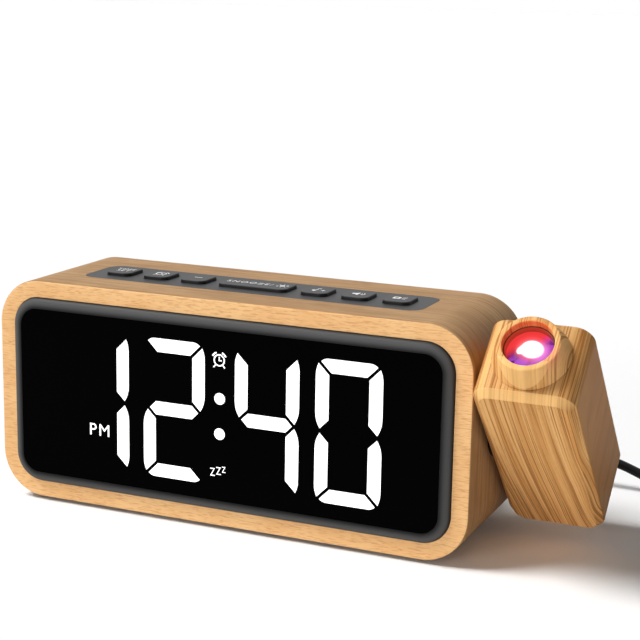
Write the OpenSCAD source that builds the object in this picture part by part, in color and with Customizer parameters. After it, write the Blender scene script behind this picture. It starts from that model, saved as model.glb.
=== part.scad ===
// Projection alarm clock: a wooden sleeve that holds a digit display, a row of keys on top,
// and a tilting projector on its right side. Millimetres, +Z up, front towards -Y.
// The origin is on the table, under the middle of the clock with its projector.
// Modules are drawn in the case's own frame: X from the case's middle, Y from the wood's
// front face backwards, Z from the wood's underside. at_origin() moves them to the part's.

/* [Case] */
// Width of the wooden case
case_w = 175; // [165:1:190]
// Height of the wooden case
case_h = 78.4; // [76:0.2:86]
// Depth of the wooden case, front to back
case_d = 54.2; // [52:0.2:64]
// Radius of the case's four long corners
case_r = 16; // [14:0.5:20]
// Thickness of the wood between its two rebates
case_wall = 8; // [7:0.1:9]
// Width of the wooden rim round the bezel and round the rear cover
rim_w = 5.9; // [5:0.1:6.4]
// Depth of the front rebate, where the bezel sits
front_rebate = 4; // [3:0.5:5]
// Rounding of the wood's front and rear edges
wood_edge = 0.7; // [0.3:0.1:1.2]
// Radius of each rubber foot
foot_r = 4.5; // [3:0.5:6]
// Height of each rubber foot
foot_h = 1.2; // [1:0.1:3]
// Distance of a foot's middle from the case's side
foot_in_x = 17.5; // [17:0.5:24]
// Distance of a foot's middle from the case's front or back
foot_in_y = 9; // [7:0.5:12]

/* [Front] */
// How far the bezel stands proud of the wood
bezel_proud = 2; // [1:0.1:3]
// Width of the bezel's rounded band
bezel_band = 3.6; // [3:0.1:5]
// Depth of the bezel's sleeve behind the rebate
bezel_sleeve = 8; // [6:0.5:9]
// Thickness of the bezel's sleeve
bezel_skin = 2; // [1.6:0.1:2.2]
// Width of the ledge that backs the window
bezel_ledge = 2; // [1.5:0.1:2.4]
// Thickness of the ledge that backs the window
ledge_t = 2; // [1.5:0.1:2.5]
// Thickness of the display window
window_t = 1.5; // [1:0.1:2]
// How far the window lies below the bezel's front
window_drop = 0.15; // [0.05:0.05:0.5]
// Radius of the bezel's four long bosses
boss_r = 3; // [2.6:0.1:3.2]
// Distance of a long boss from the case's side
boss_in_x = 15.5; // [14.5:0.5:17.5]
// Distance of a long boss from the case's top or bottom
boss_in_z = 15.7; // [14.7:0.1:17.2]

/* [Digits] */
// Distance of the digits from the window's upper and lower edge
digit_in = 5.3; // [4.6:0.1:9]
// Width of a digit
digit_w = 23.4; // [20:0.2:24]
// Thickness of a segment
seg_t = 4.7; // [3.5:0.1:5.5]
// Gap between two segments
seg_gap = 1.1; // [0.8:0.1:1.5]
// Gap between the two digits of a pair
pair_gap = 5.75; // [5:0.05:8]
// Gap between the two pairs, round the colon
colon_gap = 11.2; // [9:0.1:14]
// Radius of a colon dot
dot_r = 2; // [1.5:0.1:2.5]
// Distance of a colon dot from the digits' middle line
dot_z = 6.1; // [4:0.1:9]
// Depth of the reflector block behind the window
reflector_t = 6; // [5:0.5:7]
// Margin of the reflector block round the digits
reflector_rim = 2.7; // [2:0.1:3]

/* [Boards and screws] */
// Thickness of every circuit board
board_t = 1.6; // [1:0.1:2]
// Radius of a small screw's thread
screw_r = 1; // [0.8:0.05:1.1]
// Radius of a small screw's head
cap_r = 2; // [1.8:0.1:2.4]
// Height of a small screw's head
cap_h = 1.3; // [1:0.1:1.4]
// Length of a small screw's thread
screw_l = 4.5; // [4:0.5:5]
// Radius of a rear screw's thread
rear_screw_r = 1.45; // [1.2:0.05:1.5]
// Length of a rear screw's thread
rear_screw_l = 9.5; // [8:0.5:12]
// Radius of a rear screw's head
rear_cap_r = 2.8; // [2.4:0.1:3]
// Height of a rear screw's head
rear_cap_h = 1.4; // [1:0.1:1.5]
// Width of the main board
main_w = 76; // [60:1:78]
// Height of the main board
main_h = 46; // [40:1:46]
// Distance of the main board in front of the rear cover
main_stand = 18.6; // [16:0.2:20]

/* [Keys] */
// Width of the key panel
panel_w = 127; // [124:1:131]
// Depth of the key panel, front to back
panel_d = 24.2; // [22:0.2:25]
// Corner radius of the key panel
panel_r = 5; // [3:0.5:7]
// Middle of the key panel behind the case's front
panel_y = 26.6; // [26:0.1:28]
// Thickness of the panel's top
panel_t = 2.5; // [2:0.1:3]
// Thickness of the panel's flange under the wood
flange_t = 1.5; // [1:0.1:2]
// Reach of the flange beyond the panel at its two ends
flange_x = 7.5; // [6.5:0.5:8]
// Reach of the flange beyond the panel at front and back
flange_y = 2; // [1:0.1:2]
// Width of a small key
key_w = 9.6; // [8:0.2:10]
// Width of the snooze key
snooze_w = 25.8; // [20:0.2:28]
// Depth of every key, front to back
key_d = 12; // [10:0.5:13]
// Gap between two keys
key_gap = 5.2; // [4.8:0.1:6]
// Corner radius of a key
key_r = 2.5; // [1:0.1:4]
// Height of a key above the panel
key_up = 1.2; // [1:0.1:2]
// Bevel on a key's top edge
key_edge = 0.4; // [0.1:0.1:0.8]
// Travel of a key
key_travel = 0.8; // [0.4:0.1:1]
// Thickness of a key's flange under the panel
key_flange = 1; // [0.8:0.1:1.4]
// Height of a switch's case
switch_h = 3.5; // [3:0.1:4]
// Width of a switch's case
switch_w = 6; // [5:0.5:7]

/* [Rear] */
// Thickness of the rear cover
cover_t = 3; // [2.5:0.1:4]
// How far the rear cover lies inside the wood's rear edge
cover_drop = 1; // [0.5:0.1:2]
// Radius of the speaker
speaker_r = 18; // [15:0.5:19]
// Depth of the speaker behind its rim
speaker_h = 12; // [10:0.5:13]
// Width of the speaker's tapering basket
basket_w = 7.5; // [6:0.5:9]
// Distance of the speaker's middle from the case's side
speaker_in_x = 42.5; // [41.5:0.5:43.5]
// Radius of a grille hole
grille_r = 0.9; // [0.6:0.1:1.2]
// Distance from one ring of grille holes to the next
grille_step = 3.6; // [3.2:0.1:4]
// Rings of grille holes round the middle one
grille_rings = 4; // [2:1:4]
// Distance of the DC jack from the case's side
jack_in_x = 25; // [24.5:0.5:27.5]
// Height of the DC jack's middle
jack_z = 17; // [16.5:0.5:19]
// Radius of the DC plug's barrel
barrel_r = 2.75; // [2:0.05:2.9]
// Depth of the DC jack's bore
jack_bore = 11; // [10:0.5:12]

/* [Battery] */
// Radius of the coin cell
cell_r = 10; // [8:0.5:10.5]
// Thickness of the coin cell
cell_t = 3.2; // [2:0.1:3.4]
// Distance of the battery bay from the case's side
bay_in_x = 42.5; // [37.5:1:47.5]
// Width of the battery bay
bay_w = 30; // [28:0.5:34]
// Depth of the battery bay, front to back
bay_d = 26; // [24.5:0.5:28]
// Thickness of the battery door
door_t = 1.6; // [1.2:0.1:2]

/* [Projector] */
// Width of the projector's housing
head_w = 32.8; // [30:0.2:36]
// Height of the projector's housing
head_h = 78.9; // [74:0.1:79]
// Thickness of the projector's housing, front to back
head_d = 28.4; // [28:0.2:29]
// Corner radius of the projector's housing
head_r = 6.3; // [4:0.1:8]
// Wall of the projector's housing
head_wall = 2.2; // [1.8:0.1:2.4]
// Bevel round the housing's front
head_bevel = 2.3; // [1:0.1:3]
// Bevel round the housing's back
head_back_bevel = 0.6; // [0.2:0.1:1]
// Gap between the case and the projector
head_gap = 1.5; // [1:0.1:3]
// How far the housing's middle lies above the pivot
head_rise = 0.8; // [0:0.1:1.5]
// Height of the pivot above the wood's underside
pivot_z = 41; // [41:0.1:43]
// Forward tilt of the projector in its rest position
tilt = 43; // [0:1:60]
// Radius of the pivot's black disc
hub_r = 11; // [10.5:0.5:13]
// Radius of the pivot shaft
shaft_r = 6; // [5:0.1:6.5]
// Wall of the pivot bush round the shaft
bush_wall = 2; // [1.5:0.1:2.5]
// Bore of the pivot shaft for the wires
wire_bore = 2.6; // [2:0.1:3.4]

/* [Lens] */
// How far the lens axis lies behind the housing's middle plane
lens_back = 1.2; // [0:0.1:1.4]
// Radius of the focus ring at its base
ring_base_r = 12.5; // [12.3:0.1:12.7]
// Radius of the focus ring at its top
ring_top_r = 10; // [9.6:0.1:10.8]
// Height of the focus ring
ring_h = 7.1; // [6.4:0.1:9]
// Radius of the opening in the focus ring
ring_bore = 8.1; // [7.6:0.05:8.3]
// Height of the neck inside the focus ring
neck_h = 4.2; // [3.9:0.1:4.6]
// Length of the lens cell
cell_len = 8.8; // [8:0.1:9.4]
// Wall of the lens cell
cell_wall = 0.6; // [0.5:0.1:1]
// Thickness of the projection lens at its middle
lens_t = 3.6; // [3.2:0.1:4]
// Travel of the lens cell to either side
lens_travel = 1; // [0.5:0.1:1.2]
// Length of the light tube under the lens
tube_l = 35; // [30:0.5:36]

/* [Cord] */
// Diameter of the cord
cord_d = 3.5; // [3:0.1:3.8]
// Pitch of the coil's turns and layers
coil_pitch = 3.98; // [3.96:0.01:4.2]
// Inner radius of the coil at the middle of its cord
coil_in = 15; // [14.5:0.1:16]
// Turns in each of the coil's four layers
layer_turns = 2.5; // [2:0.5:3]

/* [Clearances] */
// Gap round a piece that is fitted and doesn't move
fit_gap = 0.1; // [0.05:0.05:0.15]
// Gap at the side of a sliding key
key_play = 0.15; // [0.1:0.05:0.2]
// Radial gap of a running fit
run_gap = 0.05; // [0.02:0.01:0.09]
// Gap between a resting key's stem and its switch, beyond the travel
key_spare = 0.05; // [0.02:0.01:0.1]

/* [Hidden] */
$fn = 64;
eps = 0.01;

// Middle of the display, the case's middle planes, and the part's origin
mid_y = case_d / 2;
mid_z = case_h / 2;
side_x = case_w / 2;
boss_x = side_x - boss_in_x;
boss_z = mid_z - boss_in_z;
speaker_x = side_x - speaker_in_x;
jack_x = side_x - jack_in_x;
bay_x = side_x - bay_in_x;
head_x = side_x + head_gap;
head_top = head_rise + head_h / 2;
head_low = head_h / 2 - head_rise;
ring_edge = 0.4;
reach_front = mid_y + (lens_back - ring_top_r) * cos(tilt)
    - (head_top + fit_gap + ring_h - ring_edge) * sin(tilt);
reach_back = mid_y + (head_d / 2 - head_back_bevel / 2) * cos(tilt)
    + (head_low - head_back_bevel / 2) * sin(tilt);
origin = [(head_gap + head_w) / 2, (reach_front + reach_back) / 2, -foot_h];

// Bezel and window outlines, each as [width, height, corner radius]
function inset(by) = [case_w - 2 * by, case_h - 2 * by, case_r - by];
rebate_out = inset(rim_w);
bore_out = inset(case_wall);
bezel_out = inset(rim_w + fit_gap);
window_out = inset(rim_w + fit_gap + bezel_band);
ledge_out = inset(rim_w + fit_gap + bezel_band + bezel_ledge);
sleeve_out = inset(case_wall + fit_gap);
sleeve_in = inset(case_wall + fit_gap + bezel_skin);
window_front = window_drop - bezel_proud;
window_back = window_front + window_t;
digit_h = window_out[1] - 2 * digit_in;
reflector_back = window_back + reflector_t;
board_back = reflector_back + board_t;

// Shift of the round web that ties a long boss to the sleeve's corner
boss_web = 2;

// Rear planes
cover_front = case_d - cover_drop - cover_t;
cover_back = case_d - cover_drop;
rear_sink = rear_cap_h + fit_gap;
main_y = cover_front - main_stand;
jack_room = 5.5;
main_x = jack_x - jack_room - main_w / 2;

// Display board: its width, height, corner notches and the bosses that carry it
board_w = sleeve_in[0] - 1;
board_h = sleeve_in[1] - 2.2;
notch_w = board_w / 2 - (boss_x - boss_r - 1);
notch_h = board_h / 2 - (boss_z - boss_r - 1);
seat_x = board_w / 2 - 3.1;
seat_z = 12;

// Digits: the left edge of each, the segments that each lights, and the cut geometry
digit_x = [
    -colon_gap / 2 - 2 * digit_w - pair_gap, -colon_gap / 2 - digit_w,
    colon_gap / 2, colon_gap / 2 + digit_w + pair_gap
];
digit_lit = ["bc", "abged", "fgbc", "abcdef"];
seg_cut = seg_gap / sqrt(2);
seg_joint = 0.36 * seg_t;
bow_end = 0.2 * seg_t;
bow_mid = 0.35 * seg_t;
bow_flat = 0.225 * seg_t;

// Keys: half-width sums give the places, from the snooze key outwards
function key_place(i) = i == 0 ? 0
    : sign(i) * (snooze_w / 2 + key_w / 2 + key_gap + (abs(i) - 1) * (key_w + key_gap));
key_hem_x = 1;
key_hem_y = 0.6;
panel_low = case_h - case_wall - flange_t;
key_under = case_h - panel_t;
plunger_h = 0.65;
plunger_r = 1.7;
stem_low = panel_low + switch_h + plunger_h + key_travel + key_spare;
key_boss_r = 1.6;
key_boss_x = [snooze_w / 2 + key_gap / 2, key_place(3) - key_w / 2 - key_gap / 2];
panel_skin = 2;
key_boss_y = panel_d / 2 - panel_skin - 1.1;
panel_screw_x = panel_w / 2 + flange_x - 3.5;
panel_screw_y = 8;

// Battery bay: heights from the wood's underside
door_low = 0.4;
cell_low = door_low + door_t;
contact_low = cell_low + cell_t + 0.7;
contact_t = 0.3;
bay_roof = contact_low + contact_t;
bay_top = bay_roof + 1.8;
bay_flange = 2;
bay_skin = 1;
bay_y = front_rebate + bezel_sleeve + fit_gap + bay_flange + bay_d / 2;
cell_shift = 2.6;
door_screw_x = bay_w / 2 - 3.4;

// Pivot, along X from the case's side inwards
bush_r = shaft_r + run_gap + bush_wall;
nut_t = 2.5;
thread_end = side_x - case_wall - nut_t;
washer_t = 1.3;
clip_x = thread_end - washer_t - 0.02;
clip_t = 1;
clip_groove = 0.7;
shaft_flange_r = 9.5;
shaft_flange_t = 1.5;
side_t = head_wall;

// Optics, along the lens axis in the projector's own frame
roof = head_top - head_wall;
neck_flange_t = 1.5;
neck_out = ring_bore + 1.95;
neck_low = roof - neck_flange_t;
ring_low = head_top + fit_gap;
ring_up = ring_low + ring_h;
ring_run = neck_out + run_gap + 0.03;
ring_lip = head_top + neck_h + 0.25;
bead_z = head_top + 1.7;
bead_h = 0.8;
bead_up = 0.3;
lens_cell_low = head_top + neck_h - cell_len + 0.4;
lens_cell_top = lens_cell_low + cell_len;
lens_seat = lens_cell_top - 3.2;
tube_top = neck_low;
tube_low = tube_top - tube_l;
tube_wall = 1.4;
tube_r = neck_out - 0.45;
shelf_t = 2;

// Cord: the DC plug, the run's points from the end of the plug's strain relief, and the coil
plug_in = 9.5;
plug_r = 4.4;
plug_l = 16;
relief_l = 10;
plug_gap = 0.1;
relief_end = cover_back + plug_gap + plug_l + relief_l;
run_start = [jack_x, relief_end, jack_z] - origin;
run_route = [
    [0, 0, 0], [0, 5, -0.1], [0.8, 10.2, -0.4], [3.4, 15.6, -1], [8, 20.2, -1.8],
    [14.2, 23.6, -2.8], [21.6, 25.6, -4], [29.6, 26.3, -5.3], [38.6, 26.3, -6.8],
    [49.4, 26, -8.6], [57.2, 26, -11.3], [63.6, 26, -13.8], [69.6, 26, -15.6],
    [75.6, 26, -16.3], [82, 26, -16.4], [89, 26, -16.1], [96, 26, -15.7], [100.5, 26, -15.6]
];
tail_route = [
    [3.5, 24.95, 0], [6, 24.95, 0], [9.6, 24.5, 0.2], [13, 23.1, 0.9], [15.9, 20.9, 1.8],
    [18.1, 18, 2.8], [19.5, 14.6, 3.8], [20, 11, 4.6], [19.5, 7.3, 5.2], [18.1, 4, 5.6],
    [15.9, 1.1, 5.8], [14.5, -0.3, 5.8]
];
coil_out = coil_in + coil_pitch * layer_turns;
coil_lead = cord_d;
coil_steps = 24;
coil_layers = 4;
tie_t = 0.6;
tie_gap = 0.3;
coil_low = tie_t + tie_gap + cord_d / 2;
coil_top = coil_low + (coil_layers - 1) * coil_pitch;
coil_at = [
    run_start[0] + 104, run_start[1] + 26 - coil_out, coil_low
];
usb_h = 8;
usb_w = 12.5;
usb_l = 22;
usb_relief = 6;
usb_shell_w = 12;
usb_shell_h = 4.5;
usb_shell_l = 18;
usb_skin = 0.4;

// ---------- general shapes ----------

// Moves the case's frame to the part's
module at_origin() {
    translate(-origin) children();
}

// Rounded rectangle with exact arcs, its middle at the origin
module rounded(w, h, r) {
    square([w - 2 * r, h], center = true);
    square([w, h - 2 * r], center = true);
    for (x = [-1, 1], y = [-1, 1])
        translate([x * (w / 2 - r), y * (h / 2 - r)]) circle(r);
}

// Carries a profile round a rounded rectangle; its x runs outwards from the corners' centres
module carried(w, h, r) {
    for (k = [0:3]) {
        along = k % 2 == 0 ? h : w;
        across = k % 2 == 0 ? w : h;
        rotate(90 * k) {
            translate([across / 2 - r, 0, 0]) rotate([90, 0, 0])
                linear_extrude(height = along - 2 * r, center = true) children();
            translate([across / 2 - r, along / 2 - r, 0]) rotate_extrude(angle = 90) children();
        }
    }
}

// Profile that takes a round of radius f off an edge at x = r, height t
module round_cut(r, t, f) {
    difference() {
        translate([r - f, t - f]) square(f + 1);
        translate([r - f, t - f]) circle(f);
    }
}

// Profile that takes a flat bevel of width f off an edge at x = r, height t
module bevel_cut(r, t, f) {
    polygon([[r - f, t + eps], [r + 1, t + eps], [r + 1, t - f - 1], [r + eps, t - f]]);
}

// Upright slab with outline o = [width, height, radius], from depth y0 back to y1
module slab(o, y0, y1) {
    translate([0, y1, mid_z]) rotate([90, 0, 0])
        linear_extrude(height = y1 - y0) rounded(o[0], o[1], o[2]);
}

// Lying plate with outline w by d, from height z0 up to z1, its middle at x, y
module plate(x, y, w, d, r, z0, z1) {
    translate([x, y, z0]) linear_extrude(height = z1 - z0) rounded(w, d, r);
}

// Rod along Y from y0 back to y1
module rod_y(x, z, r, y0, y1) {
    translate([x, y1, z]) rotate([90, 0, 0]) cylinder(r = r, h = y1 - y0);
}

// Rod along X from x0 to x1 on the pivot's axis
module rod_x(r, x0, x1) {
    translate([x0, mid_y, pivot_z]) rotate([0, 90, 0]) cylinder(r = r, h = x1 - x0);
}

// Pan-head screw: the head's seat is at the origin, the thread goes up from it
module screw(r, l, hr, hh) {
    difference() {
        union() {
            translate([0, 0, -hh]) cylinder(r = hr, h = hh);
            cylinder(r = r, h = l);
        }
        for (a = [0, 90])
            rotate(a) translate([-hr * 0.6, -0.2, -hh - eps]) cube([hr * 1.2, 0.4, hh / 2]);
    }
}

// The four signs of a rectangular pattern
module four(x, y) {
    for (sx = [-1, 1], sy = [-1, 1]) translate([sx * x, sy * y, 0]) children();
}

// The projector's own frame: X from its left face, Z along the lens axis, tilted forwards
module in_projector() {
    at_origin() translate([head_x, mid_y, pivot_z]) rotate([tilt, 0, 0]) children();
}

// The lens axis
module on_lens_axis() {
    in_projector() translate([head_w / 2, lens_back, 0]) children();
}

// ---------- case and front ----------

module wood_case() {
    color("burlywood") at_origin() difference() {
        slab([case_w, case_h, case_r], 0, case_d);
        slab(bore_out, -1, case_d + 1);
        slab(rebate_out, -1, front_rebate);
        slab(rebate_out, cover_front, case_d + 1);
        for (m = [0, 1])
            translate([0, mid_y, mid_z]) mirror([0, m, 0]) translate([0, mid_y, 0])
                rotate([90, 0, 0]) carried(case_w, case_h, case_r)
                    round_cut(case_r, case_d, wood_edge);
        plate(0, panel_y, panel_w + 2 * fit_gap, panel_d + 2 * fit_gap, panel_r + fit_gap,
            case_h - case_wall - 1, case_h + 1);
        plate(-bay_x, bay_y, bay_w, bay_d, 3, -1, case_wall + 1);
        rod_x(bush_r + fit_gap, side_x - case_wall - 1, side_x + 1);
        translate([0, panel_y, case_h - case_wall - 1]) four(panel_screw_x, panel_screw_y)
            cylinder(r = screw_r, h = screw_l + 1);
    }
}

// Quarter-ellipse section of the bezel's band
function band_arc(a, b, n) = [for (i = [0:n]) [a * cos(90 * i / n), b * sin(90 * i / n)]];

module front_bezel() {
    band_in = bezel_out[2] - bezel_band;
    color([0.12, 0.12, 0.12]) at_origin() difference() {
        union() {
            slab(bezel_out, 0, front_rebate);
            translate([0, 0, mid_z]) rotate([90, 0, 0])
                carried(bezel_out[0], bezel_out[1], bezel_out[2]) polygon(concat(
                    [[band_in, 0]],
                    [for (p = band_arc(bezel_band, bezel_proud, 8)) [band_in + p[0], p[1]]]));
            slab(sleeve_out, front_rebate - eps, front_rebate + bezel_sleeve);
            for (x = [-1, 1], z = [-1, 1])
                rod_y(x * boss_x, mid_z + z * boss_z, boss_r, window_back, cover_front);
        }
        difference() {
            union() {
                slab(window_out, window_front - 1, window_back);
                slab(ledge_out, window_back - eps, window_back + ledge_t);
                slab(sleeve_in, window_back + ledge_t - eps, front_rebate + bezel_sleeve + 1);
            }
            for (x = [-1, 1], z = [-1, 1]) {
                rod_y(x * boss_x, mid_z + z * boss_z, boss_r, window_back, cover_front);
                rod_y(x * (boss_x + boss_web), mid_z + z * (boss_z + boss_web), boss_r,
                    window_back, front_rebate + bezel_sleeve + 1);
                rod_y(x * seat_x, mid_z + z * seat_z, 3, window_back, reflector_back);
            }
        }
        for (x = [-1, 1], z = [-1, 1]) {
            rod_y(x * boss_x, mid_z + z * boss_z, rear_screw_r + fit_gap / 2,
                cover_front - rear_screw_l - 0.5, cover_front + 1);
            rod_y(x * seat_x, mid_z + z * seat_z, screw_r, reflector_back - screw_l,
                reflector_back + 1);
        }
    }
}

// Curved end of a segment: points from the tip [w, 0] to the outer edge [0, h]
function bow(w, h, n) = let (r = (w * w + h * h) / (2 * w), a = asin(h / r))
    [for (i = [0:n]) [r - r * cos(a * (1 - i / n)), h - r * sin(a * (1 - i / n))]];

// Upright segment on the right: its outer edge on x = 0, the digit's middle line on y = 0,
// and the inner side towards -x; it reaches up to the corner at height top
function upright(top) = let (
        low = bow(bow_mid, 3.3 * bow_mid, 4),
        high = bow(bow_end, 4.4 * bow_end, 4),
        low_y = bow_mid - seg_joint + seg_cut,
        high_y = top - bow_end - seg_cut
    ) concat(
        [[-seg_t, low_y + seg_t - bow_mid]],
        [for (p = low) [-p[0], low_y + p[1]]],
        [for (i = [4:-1:0]) [-high[i][0], high_y - high[i][1]]],
        [[-seg_t, top - seg_t - seg_cut]]
    );

// Flat segment along the digit's top: the outer edge on y = 0, from x = 0 to x = w
function flat(w) = let (end = bow(bow_flat, 2.4 * bow_flat, 4)) concat(
        [[seg_t + seg_cut, -seg_t]],
        [for (p = end) [bow_flat + seg_cut + p[1], -p[0]]],
        [for (i = [4:-1:0]) [w - bow_flat - seg_cut - end[i][1], -end[i][0]]],
        [[w - seg_t - seg_cut, -seg_t]]
    );

// Middle segment: a long hexagon on y = 0
function middle(w) = let (tip = seg_joint + seg_cut, half = seg_t / 2) [
        [tip, 0], [tip + half, half], [w - tip - half, half], [w - tip, 0],
        [w - tip - half, -half], [tip + half, -half]
    ];

// One named segment of a digit whose lower left corner is at x = 0, y = -digit_h / 2
module segment(name) {
    half = digit_h / 2;
    if (name == "a") translate([0, half]) polygon(flat(digit_w));
    if (name == "b") translate([digit_w, 0]) polygon(upright(half));
    if (name == "c") translate([digit_w, 0]) mirror([0, 1]) polygon(upright(half));
    if (name == "d") translate([0, -half]) mirror([0, 1]) polygon(flat(digit_w));
    if (name == "e") mirror([1, 0]) mirror([0, 1]) polygon(upright(half));
    if (name == "f") mirror([1, 0]) polygon(upright(half));
    if (name == "g") polygon(middle(digit_w));
}

// Segments that are lit, or those that are not, from depth y0 back to y1
module segments(lit, y0, y1) {
    translate([0, y1, mid_z]) rotate([90, 0, 0]) linear_extrude(height = y1 - y0) {
        for (d = [0:3], name = ["a", "b", "c", "d", "e", "f", "g"])
            if ((len(search(name, digit_lit[d])) > 0) == lit)
                translate([digit_x[d], 0]) segment(name);
        if (lit)
            for (s = [-1, 1]) translate([0, s * dot_z]) circle(dot_r);
    }
}

module display_window() {
    color([0.02, 0.02, 0.02]) at_origin() difference() {
        slab(inset(rim_w + 2 * fit_gap + bezel_band), window_front, window_back);
        segments(true, window_front - 1, window_back + 1);
        segments(false, window_front - 1, window_back + 1);
    }
}

module lit_segments() {
    color("white") at_origin() segments(true, window_front, reflector_back - 1);
}

module unlit_segments() {
    color([0.03, 0.03, 0.03]) at_origin() segments(false, window_front, reflector_back - 1);
}

module reflector() {
    w = 4 * digit_w + 2 * pair_gap + colon_gap + 2 * reflector_rim;
    h = digit_h + 2 * reflector_rim;
    color("whitesmoke") at_origin() difference() {
        slab([w, h, 1], window_back, reflector_back);
        segments(true, window_back - 1, reflector_back + 1);
        segments(false, window_back - 1, reflector_back + 1);
    }
}

module display_board() {
    color("darkgreen") at_origin() difference() {
        slab([board_w, board_h, 1], reflector_back, board_back);
        for (x = [-1, 1], z = [-1, 1]) {
            translate([x * (board_w / 2 - notch_w / 2), mid_y, mid_z + z * (board_h / 2 - notch_h / 2)])
                cube([notch_w + 1, case_d, notch_h + 1], center = true);
            rod_y(x * seat_x, mid_z + z * seat_z, screw_r + fit_gap, 0, mid_y);
        }
    }
}

// One lamp behind each segment and dot, on the display board
module display_leds() {
    half = digit_h / 2;
    edge = seg_t / 2;
    spots = concat(
        [for (x = digit_x, s = [-1, 0, 1]) [x + digit_w / 2, s * (half - edge)]],
        [for (x = digit_x, u = [edge, digit_w - edge], s = [-1, 1]) [x + u, s * half / 2]],
        [for (s = [-1, 1]) [0, s * dot_z]]
    );
    color("ivory") at_origin() for (p = spots)
        translate([p[0] - 0.8, reflector_back - 0.8, mid_z + p[1] - 0.8]) cube([1.6, 0.8, 1.6]);
}

module display_screws() {
    color("silver") at_origin() for (x = [-1, 1], z = [-1, 1])
        translate([x * seat_x, board_back, mid_z + z * seat_z]) rotate([90, 0, 0])
            screw(screw_r - fit_gap / 2, screw_l, cap_r, cap_h);
}

// ---------- boards, keys ----------

module main_board() {
    color("darkgreen") at_origin() difference() {
        translate([main_x, main_y + board_t, mid_z]) rotate([90, 0, 0])
            linear_extrude(height = board_t) rounded(main_w, main_h, 2);
        for (x = [-1, 1], z = [-1, 1])
            rod_y(main_x + x * (main_w / 2 - 4), mid_z + z * (main_h / 2 - 4),
                screw_r + fit_gap, main_y - 1, main_y + board_t + 1);
    }
}

// Clock chip, display driver, sound amplifier and the row of header pins, on the board's front
module board_chips() {
    color([0.15, 0.15, 0.15]) at_origin() for (c = [
            [-14, 6, 12, 12, 1.4], [8, 8, 10, 7, 1.6], [20, -8, 6, 5, 1.5], [-4, -14, 24, 2.5, 2.6]
        ])
        translate([main_x + c[0] - c[2] / 2, main_y - c[4], mid_z + c[1] - c[3] / 2])
            cube([c[2], c[4], c[3]]);
}

module main_screws() {
    color("silver") at_origin() for (x = [-1, 1], z = [-1, 1])
        translate([main_x + x * (main_w / 2 - 4), main_y, mid_z + z * (main_h / 2 - 4)])
            rotate([-90, 0, 0]) screw(screw_r - fit_gap / 2, screw_l, cap_r, cap_h);
}

module top_panel() {
    pocket_w = panel_w - 2 * panel_skin;
    pocket_d = panel_d - 2 * panel_skin;
    color([0.34, 0.34, 0.35]) at_origin() difference() {
        union() {
            plate(0, panel_y, panel_w, panel_d, panel_r, panel_low, case_h);
            plate(0, panel_y, panel_w + 2 * flange_x, panel_d + 2 * flange_y, panel_r,
                panel_low, case_h - case_wall);
        }
        difference() {
            plate(0, panel_y, pocket_w, pocket_d, panel_r - panel_skin, panel_low - 1, key_under);
            for (x = key_boss_x) translate([0, panel_y, 0]) four(x, key_boss_y)
                cylinder(r = key_boss_r, h = case_h);
        }
        for (i = [-3:3])
            plate(key_place(i), panel_y, (i == 0 ? snooze_w : key_w) + 2 * key_play,
                key_d + 2 * key_play, key_r + key_play, key_under - 1, case_h + 1);
        translate([0, panel_y, panel_low - 1]) {
            for (x = key_boss_x) four(x, key_boss_y) cylinder(r = screw_r - 0.2, h = 1 + screw_l);
            four(panel_screw_x, panel_screw_y) cylinder(r = screw_r + fit_gap, h = flange_t + 2);
        }
    }
}

module panel_screws() {
    color("silver") at_origin() translate([0, panel_y, panel_low]) four(panel_screw_x, panel_screw_y)
        screw(screw_r - fit_gap / 2, screw_l, cap_r, cap_h);
}

module key_board() {
    color("darkgreen") at_origin() difference() {
        plate(0, panel_y, panel_w - 1, panel_d - 1, 2, panel_low - board_t, panel_low);
        translate([0, panel_y, 0]) for (x = key_boss_x)
            four(x, key_boss_y) cylinder(r = screw_r + fit_gap, h = case_h);
    }
}

module key_screws() {
    color("silver") at_origin() translate([0, panel_y, panel_low - board_t]) for (x = key_boss_x)
        four(x, key_boss_y) screw(screw_r - 0.2 - fit_gap / 2, screw_l, cap_r, cap_h);
}

module key_switches() {
    color([0.2, 0.2, 0.2]) at_origin() for (i = [-3:3])
        translate([key_place(i), panel_y, panel_low]) {
            translate([-switch_w / 2, -switch_w / 2, 0]) cube([switch_w, switch_w, switch_h]);
            cylinder(r = plunger_r, h = switch_h + plunger_h);
        }
}

// Key number i, counted from the snooze key: a bevelled cap, a hem under the panel, a stem
module key(i) {
    w = i == 0 ? snooze_w : key_w;
    color([0.33, 0.33, 0.34]) at_origin() translate([key_place(i), panel_y, 0]) {
        difference() {
            plate(0, 0, w, key_d, key_r, key_under - eps, case_h + key_up);
            carried(w, key_d, key_r) bevel_cut(key_r, case_h + key_up, key_edge);
        }
        plate(0, 0, w + 2 * key_hem_x, key_d + 2 * key_hem_y, key_r, key_under - key_flange,
            key_under);
        translate([0, 0, stem_low]) cylinder(r = 1.5, h = key_under - key_flange - stem_low + eps);
    }
}

module time_key() { key(-3); }
module alarm_key() { key(-2); }
module minus_key() { key(-1); }
module snooze_key() { key(0); }
module plus_key() { key(1); }
module volume_key() { key(2); }
module projector_key() { key(3); }

// ---------- rear ----------

// Grille: one hole in the middle and rings of six, twelve, eighteen and so on
module grille_holes() {
    rod_y(-speaker_x, mid_z, grille_r, cover_front - 1, cover_back + 1);
    for (ring = [1:grille_rings], i = [0:6 * ring - 1])
        rod_y(-speaker_x + ring * grille_step * cos(60 * i / ring),
            mid_z + ring * grille_step * sin(60 * i / ring),
            grille_r, cover_front - 1, cover_back + 1);
}

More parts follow.
